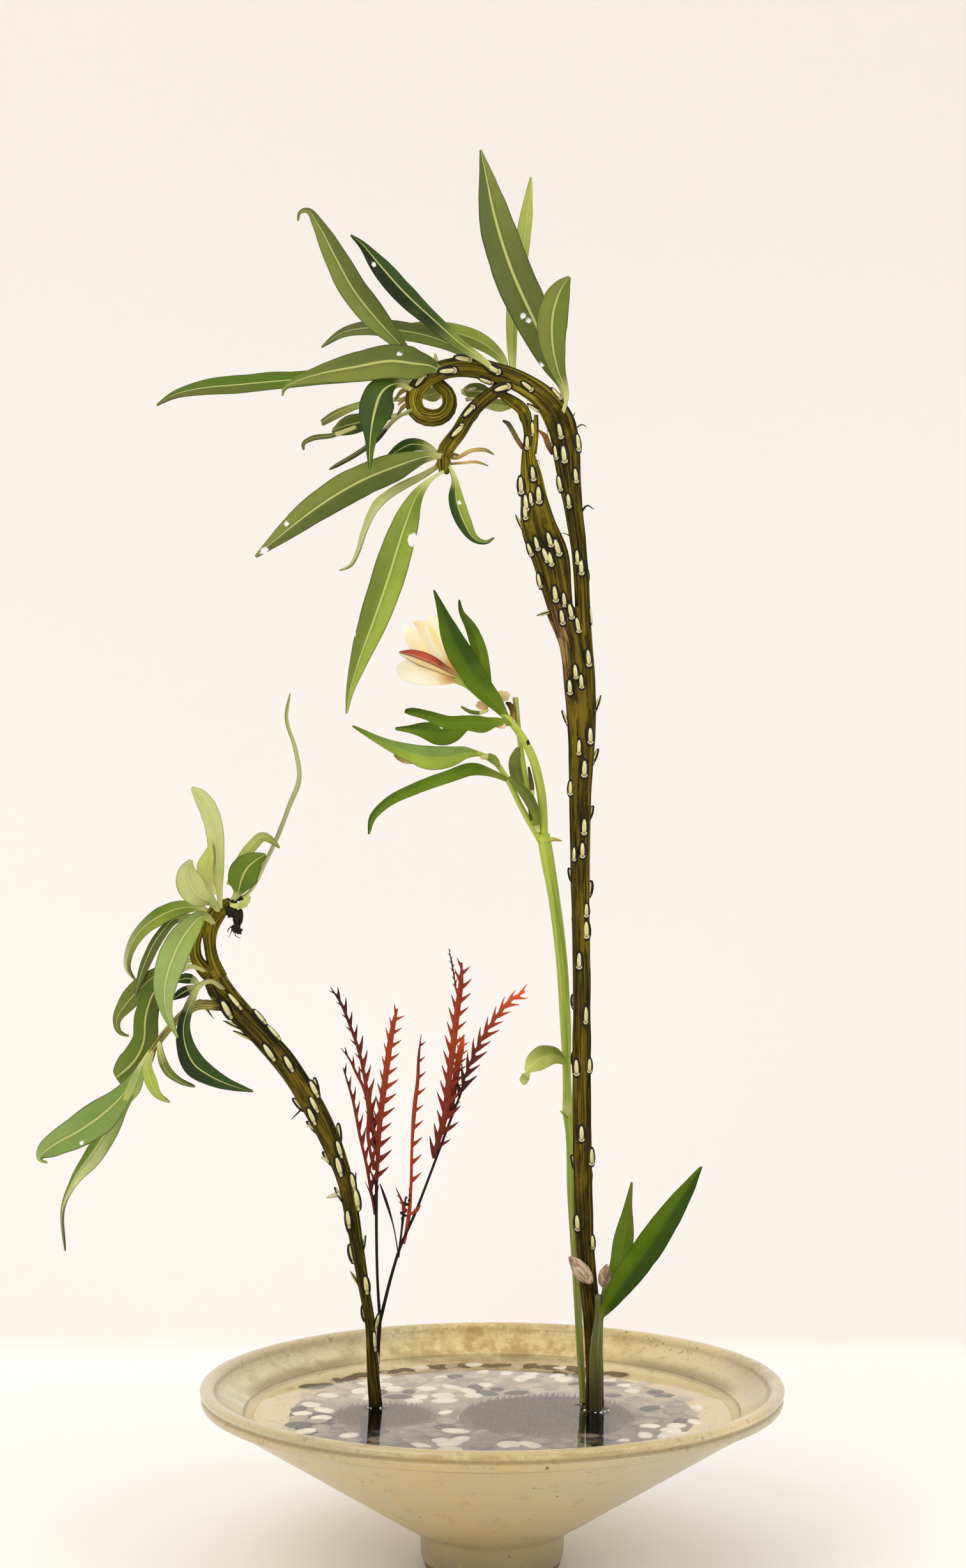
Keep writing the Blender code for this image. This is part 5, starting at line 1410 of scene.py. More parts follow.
# %% Petals
petal = Finish("petal", Roughness=0.5, Specular_IOR_Level=0.3, Subsurface_Weight=0.25,
               Subsurface_Radius=(0.004, 0.003, 0.002), Subsurface_Scale=0.5, Emission_Strength=0.2)
tint, along, out = leaf_parts(petal)
mottle = petal.noise(petal.coordinates(), 140, 3)
skin = tint.scaled(0.94 + 0.12 * mottle)
skin = (along.step(0.14, 0.04) * 0.5).mix(skin, tone(226, 152, 78))
skin = (along.step(0.34, 0.1) * 0.019).mix(skin, tone(206, 128, 60))
skin = (out.step(0.84, 1.0) * 0.2).mix(skin, tone(236, 196, 160))
_, _, z = petal.split(petal.coordinates())
# Painted light: above about 0.47 m the tepals glow, lightening their shaded upper parts.
PETAL = petal.wear(Base_Color=skin, Emission_Color=z.step(0.462, 0.472).mix(BLACK, skin),
                   Normal=petal.bump(mottle, 0.0004, 0.5))
striped = Finish("striped_petal", Roughness=0.45, Specular_IOR_Level=0.35)
tint, _, out = leaf_parts(striped)
mottle = striped.noise(striped.coordinates(), 160, 3)
skin = tint.scaled(0.8 + 0.4 * mottle).towards(tone(226, 120, 62), 0.123)
skin = (out.step(0.7, 0.92) * 0.8).mix(skin, tone(132, 44, 18))
skin = (out.step(0.16, 0.05) * 0.8).mix(skin, tone(124, 52, 24))
STRIPED = striped.wear(Base_Color=skin, Normal=striped.bump(mottle, 0.0004, 0.5))
for i, plan in enumerate(TEPALS, 1):
    name = f"tepal_{i}"
    tepal = grow(name, *plan, thin=0.3, ridge=0.4, stalk=1.2, wave=0.1)
    fit(tepal, STRIPED if name == "tepal_2" else PETAL, name)
print("tepals", len(TEPALS))

# %% [markdown]
# On the short alstroemeria a flower has faded and a bud has stayed shut. Both are eggs of closed
# petals: a sphere drawn long, pinched at its tip, with lengthwise furrows between the petals.

# %% Faded flower and closed bud
PETAL_FURROWS = 5
TWIST = radians(50)


def closed_flower(name, x, z, near, length, width, lean):
    """An egg of closed petals, furrowed, twisted and pinched at its tip."""
    deselect()
    bpy.ops.mesh.primitive_uv_sphere_add(segments=30, ring_count=18, radius=0.5)
    flower = named(name)
    edit_all()
    bpy.ops.transform.resize(value=(width * MM, width * MM, length * MM))
    done()
    for v in flower.data.vertices:
        up = v.co.z / (length * MM) + 0.5
        angle = np.arctan2(v.co.y, v.co.x)
        furrow = 1 - 0.16 * abs(cos(angle * PETAL_FURROWS / 2)) ** 6 * min(1, 3 * up)
        pinch = furrow * (1 - 0.45 * max(0, up - 0.6) / 0.4) * (1 + 0.12 * noise.noise(v.co * 300))
        v.co = Matrix.Rotation(TWIST * up, 3, "Z") @ Vector((v.co.x * pinch, v.co.y * pinch, v.co.z))
    place = Matrix.Translation(Vector((x, -near, z)) * MM)
    flower.data.transform(place @ Matrix.Rotation(radians(lean), 4, "Y"))
    bpy.ops.object.shade_smooth()
    return flower


withered = Finish("withered_petal", Roughness=0.6, Specular_IOR_Level=0.25)
spot = withered.coordinates(Rotation=(0, radians(44), 0))
drawn = withered.node("ShaderNodeMapping", {}, {"Vector": spot, "Scale": (6, 6, 0.7)})
lines = withered.noise(drawn, 110, 4)
mottle = withered.noise(spot, 200, 3)
skin = lines.step(0.38, 0.62).mix(tone(150, 116, 86), tone(214, 190, 164))
skin = (mottle.step(0.52, 0.7) * 0.6).mix(skin, tone(116, 78, 56))
WITHERED = withered.wear(Base_Color=skin, Normal=withered.bump(lines, 0.0006, 0.8))
faded = closed_flower("faded_flower", 45, 154, 13, 18, 8.5, -40)
fit(faded, WITHERED, "faded_flower")
shut = closed_flower("closed_bud", 57.6, 150.5, 9.5, 12, 6.6, 12)
fit(shut, WITHERED, "closed_bud")
print("closed flowers", faded.name, shut.name)

# %% [markdown]
# ## Willow buds
# Dozens of narrow buds sit close on the bark, each with its tip up, a dark foot and the pale
# crescent of a leaf scar beneath it. One bud is modelled from a small sphere and copied. Where
# the front ones sit is listed; a ray from the eye finds the bark there. Others are dealt
# out over the back and the sides, so that the stem is whole from every side.

# %% Two kinds of bud
def small_part(colour_of):
    """Paint the active piece by a rule on its points, and smooth it."""
    tint = bpy.context.object.data.color_attributes.new("tint", "FLOAT_COLOR", "POINT")
    for v in bpy.context.object.data.vertices:
        tint.data[v.index].color = colour_of(v.co)
    bpy.ops.object.shade_smooth()
    return bpy.context.object


def egg(length, width, thick, foot, colour_of):
    """A small egg of few faces, standing on its foot, flatter towards the bark."""
    deselect()
    bpy.ops.mesh.primitive_uv_sphere_add(segments=8, ring_count=6, radius=0.5)
    for v in bpy.context.object.data.vertices:
        up = v.co.z + 0.5
        round_out = max(2 * (v.co.x ** 2 + v.co.y ** 2) ** 0.5, 0.1) ** -0.35
        slim = (1 - 0.2 * max(0, up - 0.6) / 0.4) * round_out
        rise = v.co.z * length + length / 2 + foot
        v.co = Vector((v.co.x * width * slim, v.co.y * thick * slim, rise)) * MM
    return small_part(colour_of)


def bud_colour(co):
    """Pale and yellow, with a darker foot and a line down its front."""
    up = co.z / MM
    if co.y < 0 and abs(co.x) < 0.3 * MM and -2.4 < up < 0.8:
        return tone(206, 190, 124)
    return tone(158, 130, 72) if up < -3.4 else tone(226, 219, 160)


def crescent(major, minor):
    """The scar of a fallen leaf: the lower half of a ring."""
    deselect()
    bpy.ops.mesh.primitive_torus_add(major_segments=10, minor_segments=4, major_radius=major * MM,
                                     minor_radius=minor * MM, rotation=(pi / 2, 0, 0))
    scar = named("scar")
    bpy.ops.object.transform_apply(rotation=True)
    pick(scar, lambda v: v.co.z > 0.3 * MM)
    bpy.ops.mesh.delete(type="VERT")
    bpy.ops.mesh.select_all(action="SELECT")
    bpy.ops.mesh.region_to_loop()
    bpy.ops.mesh.edge_face_add()
    face_outwards()
    for v in scar.data.vertices:
        v.co.z -= 2.8 * MM
    return small_part(lambda co: tone(232, 226, 184))


# Painted shadow: a flat dark egg behind each bud darkens the bark round it.
def painted_bud_shadow(co):
    return tone(26, 18, 7)


tall_bud = joined([egg(8, 2.5, 2.3, -4.1, bud_colour), egg(10.6, 4.9, 0.9, -5.6, painted_bud_shadow),
                   crescent(1.3, 0.55)], "tall_bud_master")
low_bud = joined([egg(9.2, 2.8, 2.2, -4.6, bud_colour), egg(11.8, 5.1, 0.9, -6.1, painted_bud_shadow),
                  egg(2.4, 2.0, 2.0, -5.6, lambda co: tone(196, 184, 120))], "low_bud_master")
print("bud faces", len(tall_bud.data.polygons), len(low_bud.data.polygons))

# %% Where the buds sit
# (x, height) as the viewer sees them
TALL_BUDS = [
    (44, 176), (51.5, 166), (41, 207), (51, 210), (46, 222), (43.5, 256), (50, 257), (48, 283), (41, 290),
    (45, 311), (48.5, 327), (48.5, 337), (51, 348), (40, 355), (42.5, 366), (46.5, 368), (47.5, 380),
    (51, 387), (40.5, 400), (47.5, 410), (53, 416), (45, 421), (50.5, 427), (54, 443), (38, 436), (40, 452),
    (46, 455), (43, 460), (49.5, 467), (44, 484), (50.5, 489), (40.5, 491), (36, 488), (28.5, 490), (37, 497),
    (32.5, 500), (24.5, 507), (46, 514), (44, 519), (30, 518), (27.5, 520), (33.5, 524), (29.5, 528),
    (23, 526), (19.5, 523), (14.5, 537), (17, 542), (20, 549), (24, 551), (15, 556), (21, 562), (17.5, 547),
    (39.5, 548), (35, 557), (43, 561), (37, 572), (33, 573), (44, 578), (35, 584), (30, 580), (22, 596),
    (33, 603), (18, 607), (5, 606), (-3, 610), (0, 616), (-15, 621), (-23, 615), (-37, 610), (-18, 584),
    (-12, 594), (21, 585), (18, 578),
]
LOW_BUDS = [
    (-133, 290), (-137, 286), (-120, 282), (-113, 274), (-130, 271), (-137, 275), (-115, 264), (-105, 258),
    (-92, 245), (-87, 248), (-92, 237), (-93, 231), (-94, 224), (-101, 236), (-77, 223), (-79, 214),
    (-86, 208), (-79, 205), (-72, 197), (-69, 197), (-84, 189), (-70, 188), (-74, 178), (-65, 165),
    (-73, 160), (-65, 144), (-71, 147), (-60, 125), (-61, 115),
]
TALL_CORES = [smooth(limb, 4) for limb in (TALL_TRUNK, TALL_LEFT, TALL_RIGHT, TALL_SIDE)]
LOW_CORES = [smooth(limb, 4) for limb in (LOW_TRUNK, LOW_STUB, LOW_TOP)]


def stem_run(cores, spot):
    """Which way the nearest limb runs at a place, in world directions."""
    best = None
    for rows in cores:
        away = (rows[:, 0] - spot.x / MM) ** 2 + (rows[:, 1] - spot.z / MM) ** 2
        i = int(np.argmin(away))
        if best is None or away[i] < best[0]:
            j = min(i, len(rows) - 2)
            run = rows[j + 1] - rows[j]
            best = (away[i], Vector((run[0], -run[2], run[1])).normalized())
    return best[1]


def stick(master, spot, out, up, size):
    """A copy of a small piece, set on a surface with its top towards up and its back inward."""
    up = (up - out * up.dot(out)).normalized()
    side = out.cross(up).normalized()
    turn = Matrix((-side, -out, up)).transposed().to_4x4()
    return copy_of(master, Matrix.Translation(spot) @ turn @ Matrix.Scale(size, 4))


# %% Set the buds on the bark
PROUD = 0.15
REACH_IN = 0.05
random.seed(12)


def painted(name, grain, detail, shades, relief, **fixed):
    """A finish of painted points under a fine mottle. Shades are its darkest and its range."""
    finish = Finish(name, **fixed)
    mottle = finish.noise(finish.coordinates(), grain, detail)
    skin = painted_points(finish).scaled(shades[0] + shades[1] * mottle)
    return finish.wear(Base_Color=skin, Normal=finish.bump(mottle, *relief))


def front_bud(stem, cores, master, x, z):
    """A bud on the bark where the viewer sees (x, z), or on the nearest edge of the stem."""
    aim = (Vector((x, 0, z)) * MM - EYE).normalized()
    hit, spot, out, _ = stem.ray_cast(EYE, aim)
    if not hit:
        beside = EYE + aim * ((-0.002 - EYE.y) / aim.y)
        _, spot, out, _ = stem.closest_point_on_mesh(beside)
    lean = Vector((random.gauss(0, 0.12), 0, 1))
    run = stem_run(cores, spot)
    proud, facing = (PROUD, out) if hit else (1.0, out - 0.4 * run)
    return stick(master, spot + out * proud * MM, facing.normalized(), run + lean * 0.25,
                 random.uniform(0.86, 1.12))


BUD_SKIN = painted("willow_bud", 420, 3, (0.7, 0.6), (0.0003, 0.6), Roughness=0.5, Specular_IOR_Level=0.25)
for which, stem, places, cores, one_bud in (("tall", tall_stem, TALL_BUDS, TALL_CORES, tall_bud),
                                            ("low", low_stem, LOW_BUDS, LOW_CORES, low_bud)):
    buds = [front_bud(stem, cores, one_bud, x, z) for x, z in places]
    for rows in cores:
        for row in rows[8::3]:
            angle = random.uniform(0.15, 0.85) * pi
            side = Vector((cos(angle), sin(angle), 0))
            core = Vector((row[0], -row[2], row[1])) * MM
            hit, spot, out, _ = stem.ray_cast(core + side * REACH_IN, -side, distance=REACH_IN)
            if hit and random.random() < 0.75:
                buds.append(stick(one_bud, spot + out * PROUD * MM, out, stem_run([rows], spot),
                                  random.uniform(0.8, 1.1)))
    fit(joined(buds, f"willow_{which}_buds"), BUD_SKIN, f"willow_{which}_stem")
    bpy.data.objects.remove(one_bud)
    print(which, "buds", len(buds))

# %% [markdown]
# ## The red spray
# Its flat stalks carry thorns instead of leaves. On the bench each blade is a straight flattened
# stem, and copies of one thorn stand along it, left and right in turn, shorter towards the tip.
# Blade and thorns are bent together, so every thorn leans the way its blade grows.

# %% One thorn
# Each ring of the thorn: how far out and forward it stands, and how much narrower and thinner it is
THORN_RINGS = [(0.9, 0.4, 0.8, 0.9), (1.1, 0.9, 0.8, 0.85), (1.2, 1.2, 0.76, 0.8), (1.3, 1.4, 0.7, 0.75),
               (1.4, 1.6, 0.3, 0.6)]
thorn = ring("thorn_master", 1, 6, turn=(-pi / 2, 0, 0))
bpy.ops.transform.resize(value=(2.7, 1, 0.42))
reach, lean = 0.0, 0.0
for out, forward, narrow, thin in THORN_RINGS:
    extrude(forward, out, 0)
    reach, lean = reach + out, lean + forward
    bpy.ops.transform.resize(value=(narrow, 1, thin), center_override=(lean, reach, 0))
face_outwards()
THORN_SIZE = Vector((reach, lean))
print("thorn faces", len(thorn.data.polygons), "reach", round(reach, 2))

# %% Stalks and blades
# (x, height, near, radius)
SPRAY_STALKS = [
    [(-59.6, STEM_FOOT, -7, 1.3), (-59, 108, -7, 1.2), (-57.6, 130, -7, 1.1)],
    [(-57.8, 125, -7, 0.9), (-59, 145, -7, 0.75), (-59.6, 170, -7, 0.8), (-59.6, 198, -6.2, 0.9)],
    [(-57.8, 125, -7, 1), (-51.5, 150, -7, 0.85), (-47.5, 163, -7, 0.8), (-40, 180, -7, 0.75),
     (-31.5, 202, -7, 0.7), (-22.5, 226, -7, 0.7), (-16, 243, -7, 0.6)],
    [(-45.5, 165, -7.4, 0.8), (-43.4, 176, -7.5, 1.1), (-42.3, 186, -7.8, 1), (-42, 194, -8, 0.9)],
    [(-48.4, 158, -7, 0.7), (-46.6, 172, -7, 0.6), (-45.4, 183, -7, 0.8), (-44.5, 189, -7, 0.4)],
    [(-48.4, 160, -7, 0.35), (-50.6, 173, -6, 0.35), (-56, 191, -5, 0.7), (-57.8, 196, -5, 0.3)],
]
STALK_COLOURS = ["wine maroon maroon maroon maroon maroon", "maroon maroon", "maroon maroon",
                 "redwood redwood", "maroon maroon", "maroon maroon"]
# Blades: route as (x, height, near, half width), how far the thorns on the left and on the right
# reach out and forward, their pitch, and the colours from base to tip
BLADES = [
    ([(-60, 180, -7.6, 0.9), (-62, 190, -7.8, 1), (-65, 207, -8, 1), (-68, 220, -8.5, 1),
      (-72, 240, -9.5, 0.9), (-75, 250, -10, 0.6), (-77, 256, -10, 0.2)], None, (3.6, 6.8), 8.2,
     "maroon brick brick maroon"),
    ([(-61, 203, -7, 0.9), (-64, 222, -7, 1.2), (-63.5, 233, -7, 1.4), (-66, 245, -7, 1.1),
      (-70, 253, -7, 0.9), (-74, 261, -7, 0.6), (-78, 266, -7, 0.2)], None, (3.3, 6), 7.6,
     "brick brick brick maroon"),
    ([(-60, 212, -7.2, 1), (-62, 230, -6.8, 1.6), (-65, 247, -6, 1.2), (-68, 262, -5.5, 1.1),
      (-73, 277, -5, 1), (-79, 291, -4.6, 0.8), (-83.5, 297.5, -4.4, 0.2)], (2.2, 3.6), (4.2, 7), 8.2,
     "maroon brick wine maroon"),
    ([(-59.6, 194, -6.2, 0.9), (-59.2, 203, -6, 1.2), (-58.3, 222, -5, 1.7), (-56, 243, -4, 2),
      (-54, 258, -3, 2), (-52, 272, -2, 1.8), (-50, 282, -1.4, 1.2), (-48.6, 286.5, -1, 0.3)], (3.4, 6.4),
     (6, 5), 8, "wine brick redwood redwood"),
    ([(-42, 190, -7.9, 1), (-41.7, 198, -8, 1), (-41.3, 215, -9, 1), (-40, 235, -10, 1.5),
      (-38.3, 250, -11, 1.2), (-37.8, 262, -11.6, 0.9), (-36.5, 273, -12, 0.2)], None, (4.6, 3.8), 9.4,
     "redwood redwood redwood wine"),
    ([(-16.8, 240, -6.8, 0.6), (-14, 251, -6.6, 0.7), (-10, 261, -6.4, 0.8), (-4, 273, -6, 0.9),
      (3, 283, -6, 1.1), (10, 291, -6, 1.2), (17, 295, -6, 0.5)], (3.8, 7.4), (5, 7.4), 7.4,
     "maroon wine redwood flame"),
    ([(-30, 209, -6.6, 1), (-28.4, 216, -6.4, 1.6), (-24.5, 230, -5.6, 2.1), (-22.5, 248, -4, 2),
      (-20.5, 264, -2.6, 2.1), (-18, 285, -1, 2), (-16, 300, 0.6, 1.6), (-15.6, 310, 1.4, 0.4)], (4.2, 7.6),
     (6, 5.4), 8.2, "wine brick redwood brick"),
    ([(-18.5, 296, -3, 0.5), (-19.6, 303, -3, 0.5), (-21, 311, -3, 0.5), (-22.4, 317.5, -3, 0.15)],
     (1.2, 1.8), (1.2, 1.8), 4.4, "wine wine maroon"),
    ([(-21.5, 232, -8.6, 1.6), (-19.6, 245, -9, 2), (-17.6, 258, -9, 2.2), (-15.6, 268, -9, 1.8),
      (-14.6, 273, -9, 0.4)], (2.5, 3.5), (3.5, 3), 4.9, "wine brick redwood flame"),
    ([(-43.5, 180, -6.2, 0.8), (-39.5, 181.5, -6, 1.3), (-37, 185, -6, 0.5)], (1.6, 1.8), None, 3.2,
     "redwood redwood brick"),
    ([(-44.6, 181, -6.4, 1.2), (-46.6, 187, -6, 0.9), (-49.6, 194, -6, 0.2)], (1.4, 1.8), None, 4,
     "brick brick maroon"),
    ([(-60.5, 180, -6.4, 0.7), (-62.4, 190, -6, 0.6), (-65.4, 197, -6, 0.15)], None, None, 20,
     "maroon brick maroon"),
]
GREENS |= {"maroon": (34, 12, 12), "wine": (94, 26, 12), "brick": (126, 42, 18),
           "redwood": (154, 54, 20), "flame": (226, 92, 36)}
print("stalks and blades", len(SPRAY_STALKS), len(BLADES))


# %% Draw out, colour and bend them
def seen_route(knots, step, share=1.0):
    """Rows along a route set as the viewer sees it, with a share of its widths."""
    return smooth([(*seen(x, z, near), near, size * share) for x, z, near, size in knots], step)


def straight(name, rows, sides, squash=1.0):
    """A stalk lying along X: a ring drawn out and sized row by row."""
    stalk = ring(name, 1, sides, turn=(pi / 2, 0, pi / 2))
    sizes = [max(row[3], 0.15) * MM for row in rows]
    draw_along(lengths(rows) * MM, sizes, sizes)
    for v in stalk.data.vertices:
        v.co.z *= squash
    return stalk


def colour_along(piece, stops):
    """Paint a straight piece from base to tip with the named colours, darker at its thin rim."""
    tint = piece.data.color_attributes.new("tint", "FLOAT_COLOR", "POINT")
    far = max(v.co.x for v in piece.data.vertices)
    for v in piece.data.vertices:
        dark = 0.7 if abs(v.co.y) > 4.4 * MM else 1.0
        colour = between(stops.split(), min(max(v.co.x / far, 0), 0.999))
        tint.data[v.index].color = (*(colour * dark), 1)


def stalk(name, knots, step, sides, stops):
    """One stalk or thread, drawn out, coloured and bent."""
    rows = seen_route(knots, step)
    made = straight(name, rows, sides)
    colour_along(made, stops)
    return bend(made, rows)


def thorns(rows, thorn_reach, flip, place, pitch):
    """Copies of the thorn along one side of a straight blade."""
    run = lengths(rows)
    teeth = []
    while thorn_reach and place < run[-1] - 1.5:
        share = place / run[-1]
        size = (1 - 0.4 * share ** 2) * random.uniform(0.88, 1.12) * MM
        half = np.interp(place, run, rows[:, 3]) * 0.6
        out, forward = thorn_reach[0] / THORN_SIZE.x * size, thorn_reach[1] / THORN_SIZE.y * size
        tooth = copy_of(thorn, Matrix.Translation((place * MM, flip * half * MM, 0))
                        @ Matrix.Diagonal((forward, flip * out, MM * 0.9, 1)))
        if flip < 0:
            tooth.data.flip_normals()
        teeth.append(tooth)
        place += pitch * (1 - 0.15 * share)
    return teeth


pieces = [stalk(f"stalk_{i}", knots, 4, 10, STALK_COLOURS[i]) for i, knots in enumerate(SPRAY_STALKS)]
for i, (knots, left, right, pitch, stops) in enumerate(BLADES):
    rows = seen_route(knots, 2.5, share=0.8)
    parts = [straight(f"blade_{i}", rows, 10, squash=0.5)]
    parts += thorns(rows, left, 1, 0.35 * pitch, pitch)
    parts += thorns(rows, right, -1, 0.85 * pitch, pitch)
    blade = joined(parts, f"blade_{i}")
    colour_along(blade, stops)
    pieces.append(bend(blade, rows, turns=[10 * (-1) ** i] * len(rows)))
bpy.data.objects.remove(thorn)
spray = joined(pieces, "red_spray_blades")
bpy.ops.object.shade_smooth_by_angle(angle=radians(50))
RED = painted("red_spray", 300, 3, (0.65, 0.7), (0.0003, 0.5), Roughness=0.5, Specular_IOR_Level=0.2)
fit(spray, RED, "red_spray")
print("spray", len(spray.data.polygons), "faces in", len(pieces), "stalks and blades")

# %% [markdown]
# ## Scraps and tendrils
# An arrangement of real branches carries its leftovers: torn leaf ends, dry curls where a leaf
# has dropped, a blackened tip, the fallen petals of a spent flower. They say that the branch
# is real. The leafy ones come from the same blank as the leaves, the threads are bent stalks.

# %% Torn and folded leaf ends
SCRAPS = {
    "willow_tall_scrap_1": ("fresh dark dark",
                            [(-27, 571, 3, 2), (-34, 576, 2, 5), (-42, 577, 1, 7), (-50, 573, 1, 5),
                             (-54, 571, 1, 1)]),
    "willow_tall_scrap_2": ("grey slate",
                            [(-16, 604, -3, 2), (-11, 604.5, -4, 8), (-4, 604, -4, 8), (0, 603, -4, 3)]),
    "willow_tall_scrap_3": ("grey pale",
                            [(-5, 597, -3, 2), (0, 597.5, -3, 6), (6, 597, -3, 6), (10, 596.5, -3, 2)]),
    "willow_tall_scrap_4": ("grey pale", [(-36, 602, -7, 3), (-30, 603, -8, 8), (-25, 604, -8, 3)]),
    "willow_low_scrap_1": ("grey pale leaf",
                           [(-136, 350, -3, 2), (-131, 361, -4, 4), (-124, 369.5, -4, 6), (-118, 375, -4, 5),
                            (-112.5, 372, -3, 3), (-109.5, 369, -3, 1)]),
    "willow_low_scrap_2": ("night dark",
                           [(-151, 299, 2, 1.5), (-155, 301.5, 2, 5), (-160, 301.5, 1, 5),
                            (-163, 300, 1, 1)]),
    "willow_low_scrap_3": ("night night",
                           [(-152, 298, 2, 1.5), (-156.5, 296, 2, 5), (-161, 293.5, 1, 5),
                            (-165, 291, 1, 1)]),
    "willow_low_scrap_4": ("glow sage pale",
                           [(-176, 265, 4, 1.5), (-181, 255, 9, 5), (-185, 245, 9, 8), (-190, 235, 8, 2)]),
    "willow_low_scrap_5": ("pale pale pale",
                           [(-143, 345, 5, 3), (-146.5, 352, 5, 7), (-148, 359, 5, 9), (-146, 366, 5, 6),
                            (-144.5, 372, 5, 1)]),
    "willow_low_scrap_6": ("lime pale",
                           [(-135, 340, 2, 2), (-131, 339, 3, 3), (-127.5, 340.5, 3, 4),
                            (-125, 344.5, 3, 1.5)]),
    "lily_scrap_1": ("grey slate grey",
                     [(17, 396, -7, 2), (13, 408, -8, 8), (12, 416, -8, 6), (13.5, 421, -8, 1.5)]),
    "willow_tall_scrap_5": ("slate slate umber",
                            [(-70, 586, -13, 2), (-83, 581.5, -13, 2.6), (-93, 580, -13, 2.8),
                             (-97.5, 577, -13, 2), (-97, 574, -13, 1)]),
    "lily_scrap_6": ("umber night", [(21, 392, -3, 1), (20.4, 401, -3, 2.6), (18.8, 411, -3, 1)]),
    "lily_scrap_2": ("night shade", [(24, 377, -3, 2), (22, 383, -2, 4), (20, 390, -2, 3), (21, 396, -2, 1)]),
    "lily_scrap_3": ("fern grey",
                     [(-6, 415.5, -1, 1.5), (-2, 416, 0, 4), (1.5, 414, 0, 4.5), (3.5, 411, 0, 2)]),
    "lily_scrap_4": ("shade leaf",
                     [(-2, 440, -3, 1), (-7, 438.6, 0, 2), (-12, 439.5, 1, 2), (-16, 442, 1, 1)]),
    "lily_scrap_5": ("grey pale",
                     [(19, 253, 2, 2), (17.4, 251.5, 3, 4.6), (16.4, 249, 3, 4.6), (17, 247, 3, 2)]),
    "spent_petal_1": ("blush cream cream",
                      [(0, 448.5, -8, 1.5), (3, 447.5, -8, 5), (7, 447.5, -8, 5.5), (9, 449, -8, 2)]),
    "spent_petal_2": ("blush cream straw", [(-2, 441, -6, 2), (-5, 442, -6, 4.5), (-8, 443.5, -6, 3)]),
    "spent_petal_3": ("blush straw cream", [(0, 434, 0, 1.5), (3.5, 432.5, 1, 4), (7, 431.5, 1, 2)]),
    "willow_scrap_5": ("umber ochre umber",
                       [(-36, 415, -7, 2), (-42, 414.5, -7, 4.5), (-48, 416, -7, 4), (-50.5, 417, -7, 1)]),
}
torn = {"willow": [], "lily": [], "spent": []}
for name, (stops, midrib) in SCRAPS.items():
    torn[name.split("_")[0]].append(grow(name, (25, -25, 0, 0.2), (stops, stops), [], midrib,
                                         stalk=1.1, wave=0.12))
for kind, material, slot in (("willow", WILLOW_LEAF, "willow_leaf"), ("lily", LILY_LEAF, "lily_leaf"),
                             ("spent", PETAL, "petal")):
    fit(joined(torn[kind], kind + "_scraps"), material)
    print(kind, "scraps", len(torn[kind]))

